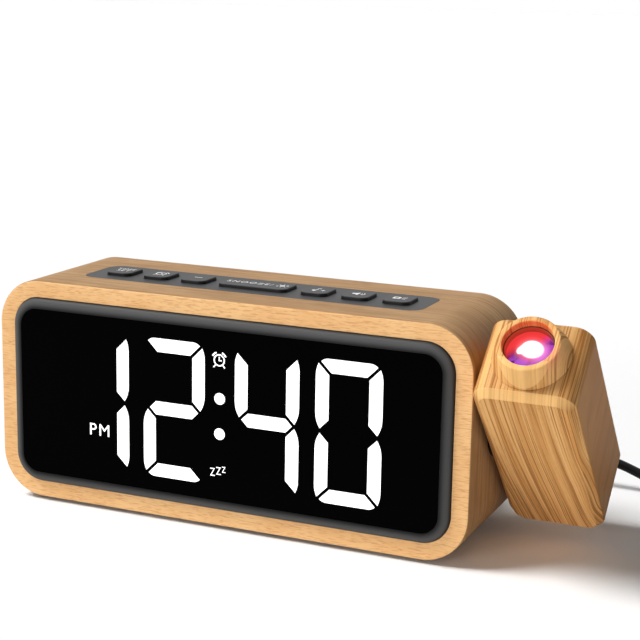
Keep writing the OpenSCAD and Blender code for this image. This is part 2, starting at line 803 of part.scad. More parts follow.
module rear_cover() {
    collar_r = barrel_r + 1.35;
    color([0.1, 0.1, 0.1]) at_origin() difference() {
        union() {
            slab(bezel_out, cover_front, cover_back);
            difference() {
                rod_y(-speaker_x, mid_z, speaker_r + 1.6, cover_front - 3, cover_front + eps);
                rod_y(-speaker_x, mid_z, speaker_r + fit_gap, cover_front - 4, cover_front);
            }
            for (x = [-1, 1], z = [-1, 1])
                rod_y(main_x + x * (main_w / 2 - 4), mid_z + z * (main_h / 2 - 4), 2.6,
                    main_y + board_t, cover_front + eps);
        }
        grille_holes();
        rod_y(jack_x, jack_z, collar_r + fit_gap, cover_front - 1, cover_back + 1);
        for (x = [-1, 1], z = [-1, 1]) {
            rod_y(x * boss_x, mid_z + z * boss_z, rear_screw_r + 1.5 * fit_gap,
                cover_front - 1, cover_back + 1);
            rod_y(x * boss_x, mid_z + z * boss_z, rear_cap_r + 3 * fit_gap,
                cover_back - rear_sink, cover_back + 1);
            rod_y(main_x + x * (main_w / 2 - 4), mid_z + z * (main_h / 2 - 4), screw_r,
                main_y + board_t - 1, main_y + board_t + screw_l);
        }
        translate([0, cover_back, mid_z]) rotate([-90, 0, 0])
            carried(bezel_out[0], bezel_out[1], bezel_out[2]) bevel_cut(bezel_out[2], 0, 0.5);
    }
}

module rear_screws() {
    color("silver") at_origin() for (x = [-1, 1], z = [-1, 1])
        translate([x * boss_x, cover_back - rear_sink, mid_z + z * boss_z]) rotate([90, 0, 0])
            screw(rear_screw_r, rear_screw_l, rear_cap_r, rear_cap_h);
}

// Loudspeaker: rim, tapering basket and magnet, facing the grille
module speaker() {
    color("dimgray") at_origin() translate([-speaker_x, cover_front, mid_z]) rotate([90, 0, 0])
        rotate_extrude() polygon([
            [0, 3], [speaker_r - 5, 0.8], [speaker_r - 3, 1], [speaker_r - 2, 0], [speaker_r, 0],
            [speaker_r, 1.6], [speaker_r - 3, 1.8], [speaker_r - basket_w + 0.5, basket_w - 0.5],
            [speaker_r - basket_w, basket_w], [speaker_r - basket_w, speaker_h], [0, speaker_h]
        ]);
}

module dc_jack() {
    body = barrel_r + 2.2;
    color([0.08, 0.08, 0.08]) at_origin() difference() {
        union() {
            rod_y(jack_x, jack_z, barrel_r + 1.35, cover_front - eps, cover_back);
            translate([jack_x - body, cover_front - jack_bore, jack_z - body])
                cube([2 * body, jack_bore, 2 * body]);
        }
        rod_y(jack_x, jack_z, barrel_r + fit_gap, cover_back - jack_bore, cover_back + 1);
    }
}

// ---------- battery ----------

module battery_bay() {
    color([0.1, 0.1, 0.1]) at_origin() difference() {
        union() {
            plate(-bay_x, bay_y, bay_w - 2 * fit_gap, bay_d - 2 * fit_gap, 2.9, 0, bay_top);
            plate(-bay_x, bay_y, bay_w + 2 * bay_flange, bay_d + 2 * bay_flange, 3, case_wall,
                max(bay_top, case_wall + 1.5));
        }
        plate(-bay_x, bay_y, bay_w - 2 * bay_skin, bay_d - 2 * bay_skin, 2, -1, cell_low);
        translate([-bay_x - cell_shift, bay_y, cell_low - 1]) {
            cylinder(r = cell_r + fit_gap, h = bay_roof - cell_low + 1);
        }
        translate([-bay_x + door_screw_x, bay_y, cell_low - 1])
            cylinder(r = screw_r, h = screw_l + 1);
    }
}

// Spring contact: a thin disc under the bay's roof with a raised middle that meets the cell
module battery_contact() {
    color("gold") at_origin() translate([-bay_x - cell_shift, bay_y, 0]) rotate_extrude() polygon([
        [0, cell_low + cell_t], [2, cell_low + cell_t], [5, contact_low],
        [cell_r - 1, contact_low], [cell_r - 1, bay_roof], [4.8, bay_roof],
        [1.8, cell_low + cell_t + contact_t], [0, cell_low + cell_t + contact_t]
    ]);
}

module coin_cell() {
    color("silver") at_origin() translate([-bay_x - cell_shift, bay_y, cell_low]) {
        cylinder(r = cell_r - 1.2, h = cell_t);
        translate([0, 0, 0.3]) cylinder(r = cell_r, h = cell_t - 0.3);
    }
}

module battery_door() {
    w = bay_w - 2 * bay_skin - 2 * fit_gap;
    d = bay_d - 2 * bay_skin - 2 * fit_gap;
    color([0.12, 0.12, 0.12]) at_origin() difference() {
        plate(-bay_x, bay_y, w, d, 1.9, door_low, cell_low);
        translate([-bay_x + door_screw_x, bay_y, -1]) {
            cylinder(r = screw_r + fit_gap, h = cell_low + 2);
            cylinder(r = cap_r + fit_gap, h = 1 + door_low + door_t / 2);
        }
        for (i = [-2:2])
            translate([-bay_x - cell_shift - 4 + 1.6 * i, bay_y - 4, -1])
                cube([0.8, 8, 1 + door_low + 0.4]);
    }
}

module battery_screw() {
    color("silver") at_origin()
        translate([-bay_x + door_screw_x, bay_y, door_low + door_t / 2])
            screw(screw_r - fit_gap / 2, screw_l, cap_r, door_t / 2);
}

module feet() {
    color([0.08, 0.08, 0.08]) at_origin() translate([0, mid_y, -foot_h])
        four(side_x - foot_in_x, mid_y - foot_in_y) cylinder(r = foot_r, h = foot_h);
}

// ---------- pivot ----------

module pivot_bush() {
    color([0.05, 0.05, 0.05]) at_origin() difference() {
        union() {
            rod_x(hub_r, side_x, head_x - 0.05);
            rod_x(bush_r, thread_end, side_x + eps);
        }
        rod_x(shaft_r + run_gap, thread_end - 1, head_x + 1);
    }
}

// Six-sided nut that draws the bush against the wood from inside
module bush_nut() {
    color("dimgray") at_origin() difference() {
        translate([thread_end, mid_y, pivot_z]) rotate([0, 90, 0])
            cylinder(r = bush_r + 3.5, h = nut_t, $fn = 6);
        rod_x(bush_r, thread_end - 1, side_x);
    }
}

module spring_washer() {
    color("silver") at_origin() difference() {
        rod_x(bush_r + 1, thread_end - washer_t, thread_end);
        rod_x(shaft_r + 2 * run_gap, thread_end - washer_t - 1, thread_end + 1);
    }
}

module retaining_clip() {
    color("silver") at_origin() difference() {
        rod_x(bush_r + 0.5, clip_x - clip_t, clip_x);
        rod_x(shaft_r - clip_groove, clip_x - clip_t - 1, clip_x + 1);
        translate([clip_x - clip_t - 1, mid_y - 3, pivot_z - bush_r - 2])
            cube([clip_t + 2, 6, bush_r - shaft_r + 3]);
    }
}

// Hollow shaft: its flange lies behind the side cover, its groove holds the clip
module pivot_shaft() {
    color([0.06, 0.06, 0.06]) at_origin() difference() {
        union() {
            rod_x(shaft_r, clip_x - clip_t - 1.5, head_x + side_t + eps);
            rod_x(shaft_flange_r, head_x + side_t, head_x + side_t + shaft_flange_t);
        }
        difference() {
            rod_x(shaft_r + 1, clip_x - clip_t, clip_x);
            rod_x(shaft_r - clip_groove, clip_x - clip_t - 1, clip_x + 1);
        }
        rod_x(wire_bore, clip_x - clip_t - 3, head_x + side_t + shaft_flange_t + 1);
    }
}

module projector_wires() {
    color("firebrick") at_origin()
        rod_x(wire_bore - 2 * run_gap, clip_x - clip_t - 4, head_x + side_t + shaft_flange_t + 0.6);
}

// ---------- projector ----------

// Upright slab in the projector's frame, from y0 back to y1, its middle at head_rise
module head_slab(w, h, r, y0, y1) {
    translate([head_w / 2, y1, head_rise]) rotate([90, 0, 0])
        linear_extrude(height = y1 - y0) rounded(w, h, r);
}

side_w = 2 * (head_d / 2 - head_wall - 1);
side_h = head_h - 2 * head_r - 4;
side_screw_y = 6;
side_screw_z = 25;

module projector_housing() {
    half = head_d / 2;
    inner = half - head_wall;
    color("peru") in_projector() difference() {
        union() {
            difference() {
                head_slab(head_w, head_h, head_r, -half, half);
                translate([head_w / 2, half, head_rise]) rotate([90, 0, 0])
                    carried(head_w, head_h, head_r) bevel_cut(head_r, head_d, head_bevel);
                translate([head_w / 2, -half, head_rise]) rotate([-90, 0, 0])
                    carried(head_w, head_h, head_r)
                        bevel_cut(head_r, head_d, head_back_bevel);
                head_slab(head_w - 2 * head_wall, head_h - 2 * head_wall, head_r - head_wall,
                    -inner, inner);
            }
            // bosses for the side cover's screws, and the shelf under the board
            for (s = [-1, 1]) translate([side_t, s * side_screw_y, -side_screw_z])
                rotate([0, 90, 0]) cylinder(r = 2.4, h = head_w - head_wall - side_t + eps);
            translate([head_w / 2, -inner - eps, tube_low - board_t - shelf_t])
                cube([head_w / 2 - head_wall + eps, 2 * inner + 2 * eps, shelf_t]);
        }
        translate([-1, -side_w / 2, head_rise - side_h / 2]) cube([1 + side_t, side_w, side_h]);
        for (s = [-1, 1]) translate([side_t - 1, s * side_screw_y, -side_screw_z])
            rotate([0, 90, 0]) cylinder(r = screw_r, h = 1 + screw_l);
        translate([head_w / 2, lens_back, roof - 1]) cylinder(r = neck_out + fit_gap, h = head_wall + 2);
    }
}

// Side cover: closes the housing towards the case; a tongue hooks under the wall at its top
module side_cover() {
    w = side_w - 2 * fit_gap;
    h = side_h - 2 * fit_gap;
    color("peru") in_projector() difference() {
        union() {
            translate([0, -w / 2, head_rise - h / 2]) cube([side_t, w, h]);
            translate([side_t - eps, -w / 4, head_rise + h / 2 - 4]) cube([1.5, w / 2, 4]);
            translate([side_t + fit_gap, -w / 4, head_rise + h / 2 - 1])
                cube([1.4 - fit_gap, w / 2, 3]);
        }
        rotate([0, 90, 0]) translate([0, 0, -1]) cylinder(r = shaft_r + fit_gap, h = side_t + 3);
        for (s = [-1, 1]) translate([-1, s * side_screw_y, -side_screw_z]) rotate([0, 90, 0]) {
            cylinder(r = screw_r + fit_gap, h = side_t + 2);
            cylinder(r = cap_r + fit_gap, h = 1 + side_t / 2);
        }
    }
}

module side_screws() {
    color("silver") in_projector() for (s = [-1, 1])
        translate([side_t / 2, s * side_screw_y, -side_screw_z]) rotate([0, 90, 0])
            screw(screw_r - fit_gap / 2, screw_l, cap_r, side_t / 2 - fit_gap);
}

module projector_board() {
    inner = head_d / 2 - head_wall - fit_gap;
    color("darkgreen") on_lens_axis() translate([-9, -inner - lens_back, tube_low - board_t])
        cube([9 + head_w / 2 - head_wall - fit_gap, 2 * inner, board_t]);
}

module projector_led() {
    color("red") on_lens_axis() translate([0, 0, tube_low]) {
        translate([-1.75, -1.4, 0]) cube([3.5, 2.8, 0.8]);
        translate([0, 0, 0.8]) cylinder(r = 1.1, h = 0.6);
    }
}

// Light tube: a black barrel with a step that carries each optical piece
module light_tube() {
    bore = tube_r - tube_wall;
    color([0.07, 0.07, 0.07]) on_lens_axis() translate([0, 0, tube_low]) difference() {
        cylinder(r = tube_r, h = tube_l);
        translate([0, 0, -1]) cylinder(r = bore - 1.6, h = tube_l + 2);
        translate([0, 0, 7]) cylinder(r = bore - 0.8, h = tube_l);
        translate([0, 0, 17]) cylinder(r = bore, h = tube_l);
    }
}

// Condenser: plano-convex, on the tube's lower step
module condenser_lens() {
    r = tube_r - tube_wall - 0.8 - run_gap;
    color("lightcyan") on_lens_axis() translate([0, 0, tube_low + 7]) rotate_extrude()
        polygon(concat([[0, 0], [r, 0]], [for (i = [0:8]) [r * cos(11.25 * i), 1 + 3 * sin(11.25 * i)]]));
}

module time_mask() {
    r = tube_r - tube_wall - run_gap;
    color("slategray") on_lens_axis() translate([0, 0, tube_low + 17]) cylinder(r = r, h = 1.1);
}

// Neck: its flange lies under the housing's top, its bead holds the focus ring
module lens_neck() {
    color([0.07, 0.07, 0.07]) difference() {
        on_lens_axis() rotate_extrude() polygon([
            [ring_bore, neck_low], [neck_out + 1.6, neck_low], [neck_out + 1.6, roof],
            [neck_out, roof], [neck_out, bead_z], [neck_out + bead_up, bead_z + bead_up],
            [neck_out + bead_up, bead_z + bead_h - bead_up], [neck_out, bead_z + bead_h],
            [neck_out, head_top + neck_h], [ring_bore, head_top + neck_h]
        ]);
        in_projector() translate([head_w / 2, 0, neck_low - 1]) difference() {
            translate([-20, -20, 0]) cube([40, 40, neck_flange_t + 1 - eps]);
            translate([head_r - head_w / 2, head_wall + fit_gap - head_d / 2, -1])
                cube([head_w - 2 * head_r, head_d - 2 * (head_wall + fit_gap), neck_flange_t + 3]);
        }
    }
}

module focus_ring() {
    groove = bead_up + run_gap;
    color("peru") on_lens_axis() rotate_extrude() polygon([
        [ring_run, ring_low], [ring_base_r, ring_low], [ring_top_r, ring_up - ring_edge],
        [ring_top_r - ring_edge, ring_up], [ring_bore + ring_edge, ring_up],
        [ring_bore, ring_up - ring_edge], [ring_bore, ring_lip], [ring_run, ring_lip],
        [ring_run, bead_z + bead_h + 0.1], [ring_run + groove, bead_z + bead_h + 0.1 - groove],
        [ring_run + groove, bead_z + groove - 0.1], [ring_run, bead_z - 0.1]
    ]);
}

module lens_cell() {
    out = ring_bore - run_gap;
    bore = out - cell_wall;
    color([0.05, 0.05, 0.05]) on_lens_axis() rotate_extrude() polygon([
        [bore - 1, lens_cell_low], [out, lens_cell_low], [out, lens_cell_top], [bore, lens_cell_top],
        [bore, lens_seat], [bore - 1, lens_seat]
    ]);
}

// Projection lens: a flat back on the cell's step and a domed front
module projection_lens() {
    r = ring_bore - run_gap - cell_wall;
    rim = 1.2;
    dome = lens_t - rim;
    sphere_r = (r * r + dome * dome) / (2 * dome);
    a = asin(r / sphere_r);
    color("mistyrose") on_lens_axis() translate([0, 0, lens_seat]) rotate_extrude() polygon(concat(
        [[0, 0], [r, 0]],
        [for (i = [0:10]) let (b = a * (1 - i / 10))
            [sphere_r * sin(b), rim + dome - sphere_r * (1 - cos(b))]]
    ));
}

// ---------- cord ----------

// DC plug: barrel in the jack, round body, ribbed strain relief
module dc_plug() {
    rib = relief_l / 8;
    color([0.05, 0.05, 0.05]) at_origin() translate([jack_x, cover_back, jack_z])
        rotate([-90, 0, 0]) rotate_extrude() polygon(concat(
            [[0, -plug_in], [barrel_r, -plug_in], [barrel_r, plug_gap], [plug_r - 0.6, plug_gap],
                [plug_r, plug_gap + 0.6], [plug_r, plug_gap + plug_l - 1],
                [plug_r - 0.8, plug_gap + plug_l]],
            [for (i = [0:7]) let (z = plug_gap + plug_l + i * rib, r = 3.2 - 0.13 * i)
                each [[r - (i == 7 ? 0 : 0.5), z + 0.01], [r, z + 0.3], [r, z + rib - 0.3]]],
            [[cord_d / 2 + 0.4, plug_gap + plug_l + relief_l], [0, plug_gap + plug_l + relief_l]]
        ));
}

// Tube along points p: a ring of n corners at each, square to the way it runs, and two caps
function unit(v) = v / norm(v);
function heading(p, i) = unit(p[min(i + 1, len(p) - 1)] - p[max(i - 1, 0)]);
module tube(p, r, n) {
    rings = [for (i = [0:len(p) - 1]) let (
            t = heading(p, i), side = unit(cross(t, [0, 0, 1])), up = cross(side, t)
        ) each [for (k = [0:n - 1]) let (a = 360 * (k + 0.5) / n)
            p[i] + r * (cos(a) * side + sin(a) * up)]];
    last = (len(p) - 1) * n;
    walls = [for (i = [0:len(p) - 2], k = [0:n - 1]) let (
            a = i * n + k, b = i * n + (k + 1) % n
        ) each [[a, b, b + n], [a, b + n, a + n]]];
    caps = [for (k = [1:n - 2]) each [[0, k + 1, k], [last, last + k, last + k + 1]]];
    polyhedron(points = rings, faces = concat(walls, caps));
}

module cord_run() {
    color([0.04, 0.04, 0.04]) tube([for (p = run_route) run_start + p], cord_d / 2, 8);
}

// Coil: turn t runs clockwise from the back; its radius goes in and out at a steady rate, layer
// by layer, and its height climbs one layer in the half turn round each change of direction
function coil_radius(t) = let (layer = floor(t / layer_turns), u = t - layer * layer_turns)
    layer % 2 == 0 ? coil_out - coil_pitch * u : coil_in + coil_pitch * u;
function coil_height(t) = coil_pitch * (
    let (n = round(t / layer_turns), u = t - n * layer_turns)
    n == 0 || n == coil_layers ? (n == 0 ? 0 : coil_layers - 1)
        : n - 1 + min(1, max(0, 2 * u + 0.5)));
function coil_point(t) = [
    coil_radius(t) * sin(360 * t), coil_radius(t) * cos(360 * t), coil_height(t)
];
coil_count = coil_layers * layer_turns * coil_steps;
coil_path = concat(
    [[-coil_lead, coil_out, 0]],
    [for (i = [0:coil_count - 1]) coil_point(i / coil_steps)],
    [[0, coil_out, coil_top - coil_low], [coil_lead, coil_out, coil_top - coil_low]]
);

// Least gap between two stretches of the coil that are more than a third of a turn apart
coil_gap = min([for (i = [0:len(coil_path) - 1], j = [i + coil_steps / 3:len(coil_path) - 1])
    norm(coil_path[i] - coil_path[j])]) - cord_d;

module cord_coil() {
    echo(least_coil_gap = coil_gap);
    color([0.04, 0.04, 0.04]) translate(coil_at) tube(coil_path, cord_d / 2, 6);
}

tail_from = coil_at + [0, 0, coil_top - coil_low];

module cord_tail() {
    color([0.04, 0.04, 0.04]) tube([for (p = tail_route) tail_from + p], cord_d / 2, 8);
}

// Strap round the coil's bundle, on its left
module coil_tie() {
    low = coil_in - cord_d / 2 - 2 * tie_gap - 0.1;
    high = coil_out + cord_d / 2 + tie_gap;
    up = coil_top - coil_low + cord_d + 2 * tie_gap;
    color([0.1, 0.1, 0.1]) translate([coil_at[0] - (low + high) / 2, coil_at[1], tie_t + up / 2])
        rotate([90, 0, 0]) linear_extrude(height = 6, center = true) difference() {
            rounded(high - low + 2 * tie_t, up + 2 * tie_t, 1.5);
            rounded(high - low, up, 1.5 - tie_t);
        }
}

// The far plug's frame: X runs on from the tail's end
module at_tail_end() {
    n = len(tail_route);
    d = tail_route[n - 1] - tail_route[n - 2];
    translate(tail_from + tail_route[n - 1]) rotate([0, 0, atan2(d[1], d[0])]) children();
}

module usb_plug() {
    color([0.05, 0.05, 0.05]) at_tail_end() {
        rotate([0, 90, 0]) rotate_extrude() polygon([
            [0, 0], [cord_d / 2 + 0.4, 0], [usb_h / 2 - 0.8, usb_relief + eps], [0, usb_relief + eps]
        ]);
        translate([usb_relief, 0, 0]) rotate([90, 0, 90]) linear_extrude(height = usb_l)
            rounded(usb_w, usb_h, 1.5);
        translate([usb_relief + usb_l - eps, 0, 0]) rotate([90, 0, 90])
            linear_extrude(height = usb_shell_l - 1)
                translate([0, usb_shell_h / 2 - usb_skin - 0.9])
                    square([usb_shell_w - 2 * usb_skin - 0.4, 1.6], center = true);
    }
}

module usb_shell() {
    color("silver") at_tail_end() translate([usb_relief + usb_l, 0, 0]) rotate([90, 0, 90])
        linear_extrude(height = usb_shell_l) difference() {
            rounded(usb_shell_w, usb_shell_h, 0.5);
            square([usb_shell_w - 2 * usb_skin, usb_shell_h - 2 * usb_skin], center = true);
        }
}

// ---------- one line for each node ----------

wood_case();
front_bezel();
display_window();
lit_segments();
unlit_segments();
reflector();
display_board();
display_leds();
display_screws();
main_board();
board_chips();
main_screws();
top_panel();
panel_screws();
key_board();
key_screws();
key_switches();
time_key();
alarm_key();
minus_key();
snooze_key();
plus_key();
volume_key();
projector_key();
rear_cover();
rear_screws();
speaker();
dc_jack();
battery_bay();
battery_contact();
coin_cell();
battery_door();
battery_screw();
feet();
pivot_bush();
bush_nut();
spring_washer();
retaining_clip();
pivot_shaft();
projector_wires();
projector_housing();
side_cover();
side_screws();
projector_board();
projector_led();
light_tube();
condenser_lens();
time_mask();
lens_neck();
focus_ring();
lens_cell();
projection_lens();
dc_plug();
cord_run();
cord_coil();
cord_tail();
coil_tie();
usb_plug();
usb_shell();
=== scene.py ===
"""Looks of a projection alarm clock: a wooden case with a black display, grey keys on top, a
tilting striped-wood projector on its right side, and its cord. Sizes inside the functions are
millimetres: in the case's frame X runs from its middle, Y from the wood's front backwards and Z
from the wood's underside; the projector's frame starts on its pivot and is tilted with it."""

from functools import cache
from math import atan2, cos, pi, radians, sin, tau

import bmesh
import bpy
import numpy as np
from mathutils import Matrix, Vector


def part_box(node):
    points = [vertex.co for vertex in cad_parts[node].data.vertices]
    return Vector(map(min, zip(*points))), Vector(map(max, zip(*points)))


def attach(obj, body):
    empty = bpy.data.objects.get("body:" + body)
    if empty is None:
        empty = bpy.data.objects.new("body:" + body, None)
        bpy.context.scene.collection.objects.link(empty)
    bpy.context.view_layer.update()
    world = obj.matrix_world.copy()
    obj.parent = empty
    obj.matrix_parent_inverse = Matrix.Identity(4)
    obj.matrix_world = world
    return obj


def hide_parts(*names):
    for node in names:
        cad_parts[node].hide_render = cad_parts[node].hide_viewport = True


bl_info = {
    "name": "Projection alarm clock",
    "version": (1, 0, 0),
    "blender": (4, 5, 0),
    "location": "3D View > Sidebar > Clock",
    "description": "Builds the looks of a projection alarm clock round its packed frame",
    "category": "Object",
}

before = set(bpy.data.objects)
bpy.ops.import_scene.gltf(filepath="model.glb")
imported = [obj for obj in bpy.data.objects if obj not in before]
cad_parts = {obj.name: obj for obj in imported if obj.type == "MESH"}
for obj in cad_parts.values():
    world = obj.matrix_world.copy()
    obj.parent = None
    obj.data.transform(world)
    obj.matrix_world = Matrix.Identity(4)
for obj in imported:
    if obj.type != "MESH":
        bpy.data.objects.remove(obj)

MM = 1000.0
LOW, HIGH = (np.array(corner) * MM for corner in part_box("wood_case"))
CASE_W, CASE_D, CASE_H = HIGH - LOW
ORIGIN = np.array([-CASE_W / 2, 0, 0]) - LOW
MID_Y, MID_Z = CASE_D / 2, CASE_H / 2

# The case: gap round a fitted piece, how far a cutter passes the wood, depth of the wood's
# rebates at front and rear, back of the rear cover, the keys' middle line, the underside of the
# key panel's skin, the keys' tops, and the radius of the pivot's bush
FIT = 0.1
PAST = 2
REBATE = 4
COVER_BACK = CASE_D - 1
KEYS_Y = 26.6
KEY_UNDER = CASE_H - 2.5
KEY_TOP = CASE_H + 1.2
BUSH_R = 8.05

# The projector: its block, the block's corner radius, wall, rise over the pivot and top, and
# the lens axis with the neck round it, the neck's bore, and the lens's radius and seat
HEAD_W, HEAD_D, HEAD_H = 32.8, 28.4, 78.9
HEAD_R, HEAD_WALL, HEAD_RISE = 6.3, 2.2, 0.8
HEAD_MID = [HEAD_W / 2, 0, HEAD_RISE]
HEAD_TOP = HEAD_RISE + HEAD_H / 2
LENS_X, LENS_Y = HEAD_W / 2, 1.2
LENS_AXIS = [LENS_X, LENS_Y, 0]
NECK_R, LENS_BORE, LENS_R, LENS_SEAT = 10.05, 8.1, 7.45, 41.65

# The cord: the jack's place, the radius of the plug's strain relief at its end and that end's
# way behind the rear cover, and the coil's inner radius, pitch, layers, turns in a layer, points
# in a turn, outer radius and rise
JACK_X, JACK_Z = 62.5, 17
RELIEF_R, RELIEF_END = 2.15, 26.1
COIL_IN, COIL_PITCH = 15, 3.98
COIL_LAYERS, LAYER_TURNS, TURN_POINTS = 4, 2.5, 24
COIL_OUT = COIL_IN + COIL_PITCH * LAYER_TURNS
COIL_RISE = COIL_PITCH * (COIL_LAYERS - 1)


# ---------- frames and curves ----------


def in_case(points):
    """Metres in the part's frame: the case's millimetres less the part's origin."""
    return (np.asarray(points) - ORIGIN) / MM


def in_part(points):
    """Metres from millimetres in the part's own frame."""
    return np.asarray(points) / MM


def in_projector(points):
    """The projector's millimetres turned about X by its tilt and set on the pivot, in metres."""
    size = bpy.context.scene.clock_sizes
    turn = np.array(Matrix.Rotation(size.tilt, 3, "X"))
    pivot = [CASE_W / 2 + size.head_gap * MM, MID_Y, size.pivot_height * MM]
    return in_case(np.asarray(points) @ turn.T + pivot)


def outline(width, height, radius, inset, steps):
    """Rounded rectangle, one row for each inset: each corner's centre plus the radius that is
    left times (cos a, sin a), over a quarter turn in equal steps."""
    left = np.maximum(radius - inset, 0.02)
    a = np.linspace(0, pi / 2, steps + 1) + np.arange(4)[:, None] * pi / 2
    x = (width / 2 - inset - left)[:, None, None] * np.array([1, -1, -1, 1])[:, None]
    y = (height / 2 - inset - left)[:, None, None] * np.array([1, 1, -1, -1])[:, None]
    left = left[:, None, None]
    return np.stack([x + left * np.cos(a), y + left * np.sin(a)], -1).reshape(len(inset), -1, 2)


def softened(corners, reach, steps=4, closed=True):
    """Corners bent round: from reach before each corner to reach after it runs the curve
    corner + reach times ((1 - s) squared times back + s squared times ahead)."""
    p = np.asarray(corners, float)
    back, ahead = np.roll(p, 1, 0) - p, np.roll(p, -1, 0) - p
    if not closed:
        back[0], ahead[-1] = 0, 0
    back /= np.maximum(np.linalg.norm(back, axis=1, keepdims=True), 1e-9)
    ahead /= np.maximum(np.linalg.norm(ahead, axis=1, keepdims=True), 1e-9)
    s = np.linspace(0, 1, steps + 1)[None, :, None]
    bend = (1 - s) ** 2 * back[:, None] + s**2 * ahead[:, None]
    reach = np.broadcast_to(np.asarray(reach, float), len(p))[:, None, None]
    return (p[:, None] + reach * bend).reshape(-1, 2)


def through(points, steps):
    """Smooth path through points: between two of them the cubic that has their places and, as
    its slopes, the chord from the point before to the point after over the way between these."""
    p = np.asarray(points, float)
    way = np.concatenate([[0], np.cumsum(np.linalg.norm(np.diff(p, axis=0), axis=1))])
    slope = np.gradient(p, way, axis=0)
    s = np.linspace(0, 1, steps, endpoint=False)[None, :, None]
    gap = np.diff(way)[:, None, None]
    curve = (
        (2 * s**3 - 3 * s**2 + 1) * p[:-1, None]
        + (s**3 - 2 * s**2 + s) * gap * slope[:-1, None]
        + (3 * s**2 - 2 * s**3) * p[1:, None]
        + (s**3 - s**2) * gap * slope[1:, None]
    )
    return np.concatenate([curve.reshape(-1, 3), p[-1:]])


# ---------- meshes ----------


class Shell:
    """Closed surfaces in millimetres, gathered before they become one mesh."""

    def __init__(self):
        self.points, self.faces, self.total = [], [], 0

    def add(self, points, faces):
        """Takes points (n, 3) and faces that count from the first of them."""
        self.faces += [[self.total + k for k in face] for face in faces]
        self.points.append(np.asarray(points, float).reshape(-1, 3))
        self.total += len(self.points[-1])

    def grid(self, p, along=False):
        """Quads between neighbours in rows of points; each row closes on itself, and along
        joins the last row to the first."""
        rows, columns = p.shape[:2]
        k = np.arange(rows * columns).reshape(rows, columns)
        k = np.concatenate([k, k[:, :1]], 1)
        if along:
            k = np.concatenate([k, k[:1]], 0)
        quads = np.stack([k[:-1, :-1], k[:-1, 1:], k[1:, 1:], k[1:, :-1]], -1)
        self.add(p, quads.reshape(-1, 4).tolist())

    def hoop(self, width, height, radius, profile, centre, upright=True, along=True, steps=14):
        """Profile of (inset, depth) carried round a rounded rectangle. Upright, the rectangle
        lies in X and Z with its depth along Y, otherwise in X and Y with its depth up Z. The
        profile closes on itself where along is true, and gets flat ends where it isn't."""
        inset, depth = np.asarray(profile, float).T
        ring = outline(width, height, radius, inset, steps)
        x, y, z = ring[..., 0], ring[..., 1], np.broadcast_to(depth[:, None], ring.shape[:2])
        p = np.stack([x, z, y] if upright else [x, y, z], -1) + np.asarray(centre, float)
        self.grid(p, along)
        if not along:
            for end in (p[0], p[-1]):
                self.add(end, [range(len(end))])

    def lathe(self, profile, centre, axis="Z", steps=72, along=False):
        """Profile of (radius, height) turned about an axis: radius times (cos a, sin a)."""
        r, h = np.asarray(profile, float).T
        a = np.linspace(0, tau, steps, endpoint=False)
        p = np.stack([r[:, None] * np.cos(a), r[:, None] * np.sin(a), h[:, None] + 0 * a], -1)
        p = np.roll(p, {"Z": 0, "X": 1, "Y": 2}[axis], -1)
        self.grid(p + np.asarray(centre, float), along)


def build(name, shell, to):
    """Object at the origin from a shell: doubles merged, then faces turned outwards."""
    mesh = bpy.data.meshes.new(name)
    mesh.from_pydata(to(np.concatenate(shell.points)).tolist(), [], shell.faces)
    b = bmesh.new()
    b.from_mesh(mesh)
    bmesh.ops.remove_doubles(b, verts=b.verts, dist=1e-6)
    bmesh.ops.recalc_face_normals(b, faces=b.faces)
    b.to_mesh(mesh)
    b.free()
    obj = bpy.data.objects.new(name, mesh)
    bpy.context.scene.collection.objects.link(obj)
    return obj


def carve(obj, shells, to):
    """Takes the shells' solids out of obj, for good."""
    cutters = [build("cut", shell, to) for shell in shells]
    for cutter in cutters:
        step = obj.modifiers.new(cutter.name, "BOOLEAN")
        step.operation, step.solver, step.object = "DIFFERENCE", "EXACT", cutter
    shown = obj.evaluated_get(bpy.context.evaluated_depsgraph_get())
    mesh = bpy.data.meshes.new_from_object(shown)
    obj.modifiers.clear()
    obj.data = mesh
    for cutter in cutters:
        bpy.data.objects.remove(cutter)


def settle(obj, body, materials, nodes=(), sharp=32):
    """Shades a piece smooth up to its sharp edges, keeps its broad faces flat, gives it its
    materials, hangs it on what it rides on, and hides any CAD nodes it stands for."""
    for material in materials:
        obj.data.materials.append(material)
    obj.data.shade_smooth()
    obj.data.set_sharp_from_angle(angle=radians(sharp))
    even = obj.modifiers.new("Even shading", "WEIGHTED_NORMAL")
    even.keep_sharp = True
    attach(obj, body)
    if nodes:
        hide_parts(*nodes)
    return obj


def paint_faces(obj, chosen):
    """Gives the faces whose normals are chosen the second material, and the rest the first."""
    normals = np.empty(len(obj.data.polygons) * 3)
    obj.data.polygons.foreach_get("normal", normals)
    picked = chosen(normals.reshape(-1, 3)).astype(np.int32)
    obj.data.polygons.foreach_set("material_index", picked)


def dress(material, *nodes):
    """Puts a material on carried-over CAD nodes."""
    for name in nodes:
        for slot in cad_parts[name].material_slots:
            slot.material = material


# ---------- printed marks ----------


def disc(x, y, r, steps=28):
    """Circle as a loop of points."""
    a = np.linspace(0, tau, steps, endpoint=False)
    return np.stack([x + r * np.cos(a), y + r * np.sin(a)], -1)


def bar(x, y, length, thick, turn=0.0):
    """Square-ended bar about (x, y), turned by an angle in degrees."""
    box = np.array([[-1, -1], [1, -1], [1, 1], [-1, 1]]) * [length / 2, thick / 2]
    c, s = cos(radians(turn)), sin(radians(turn))
    return box @ np.array([[c, s], [-s, c]]) + [x, y]


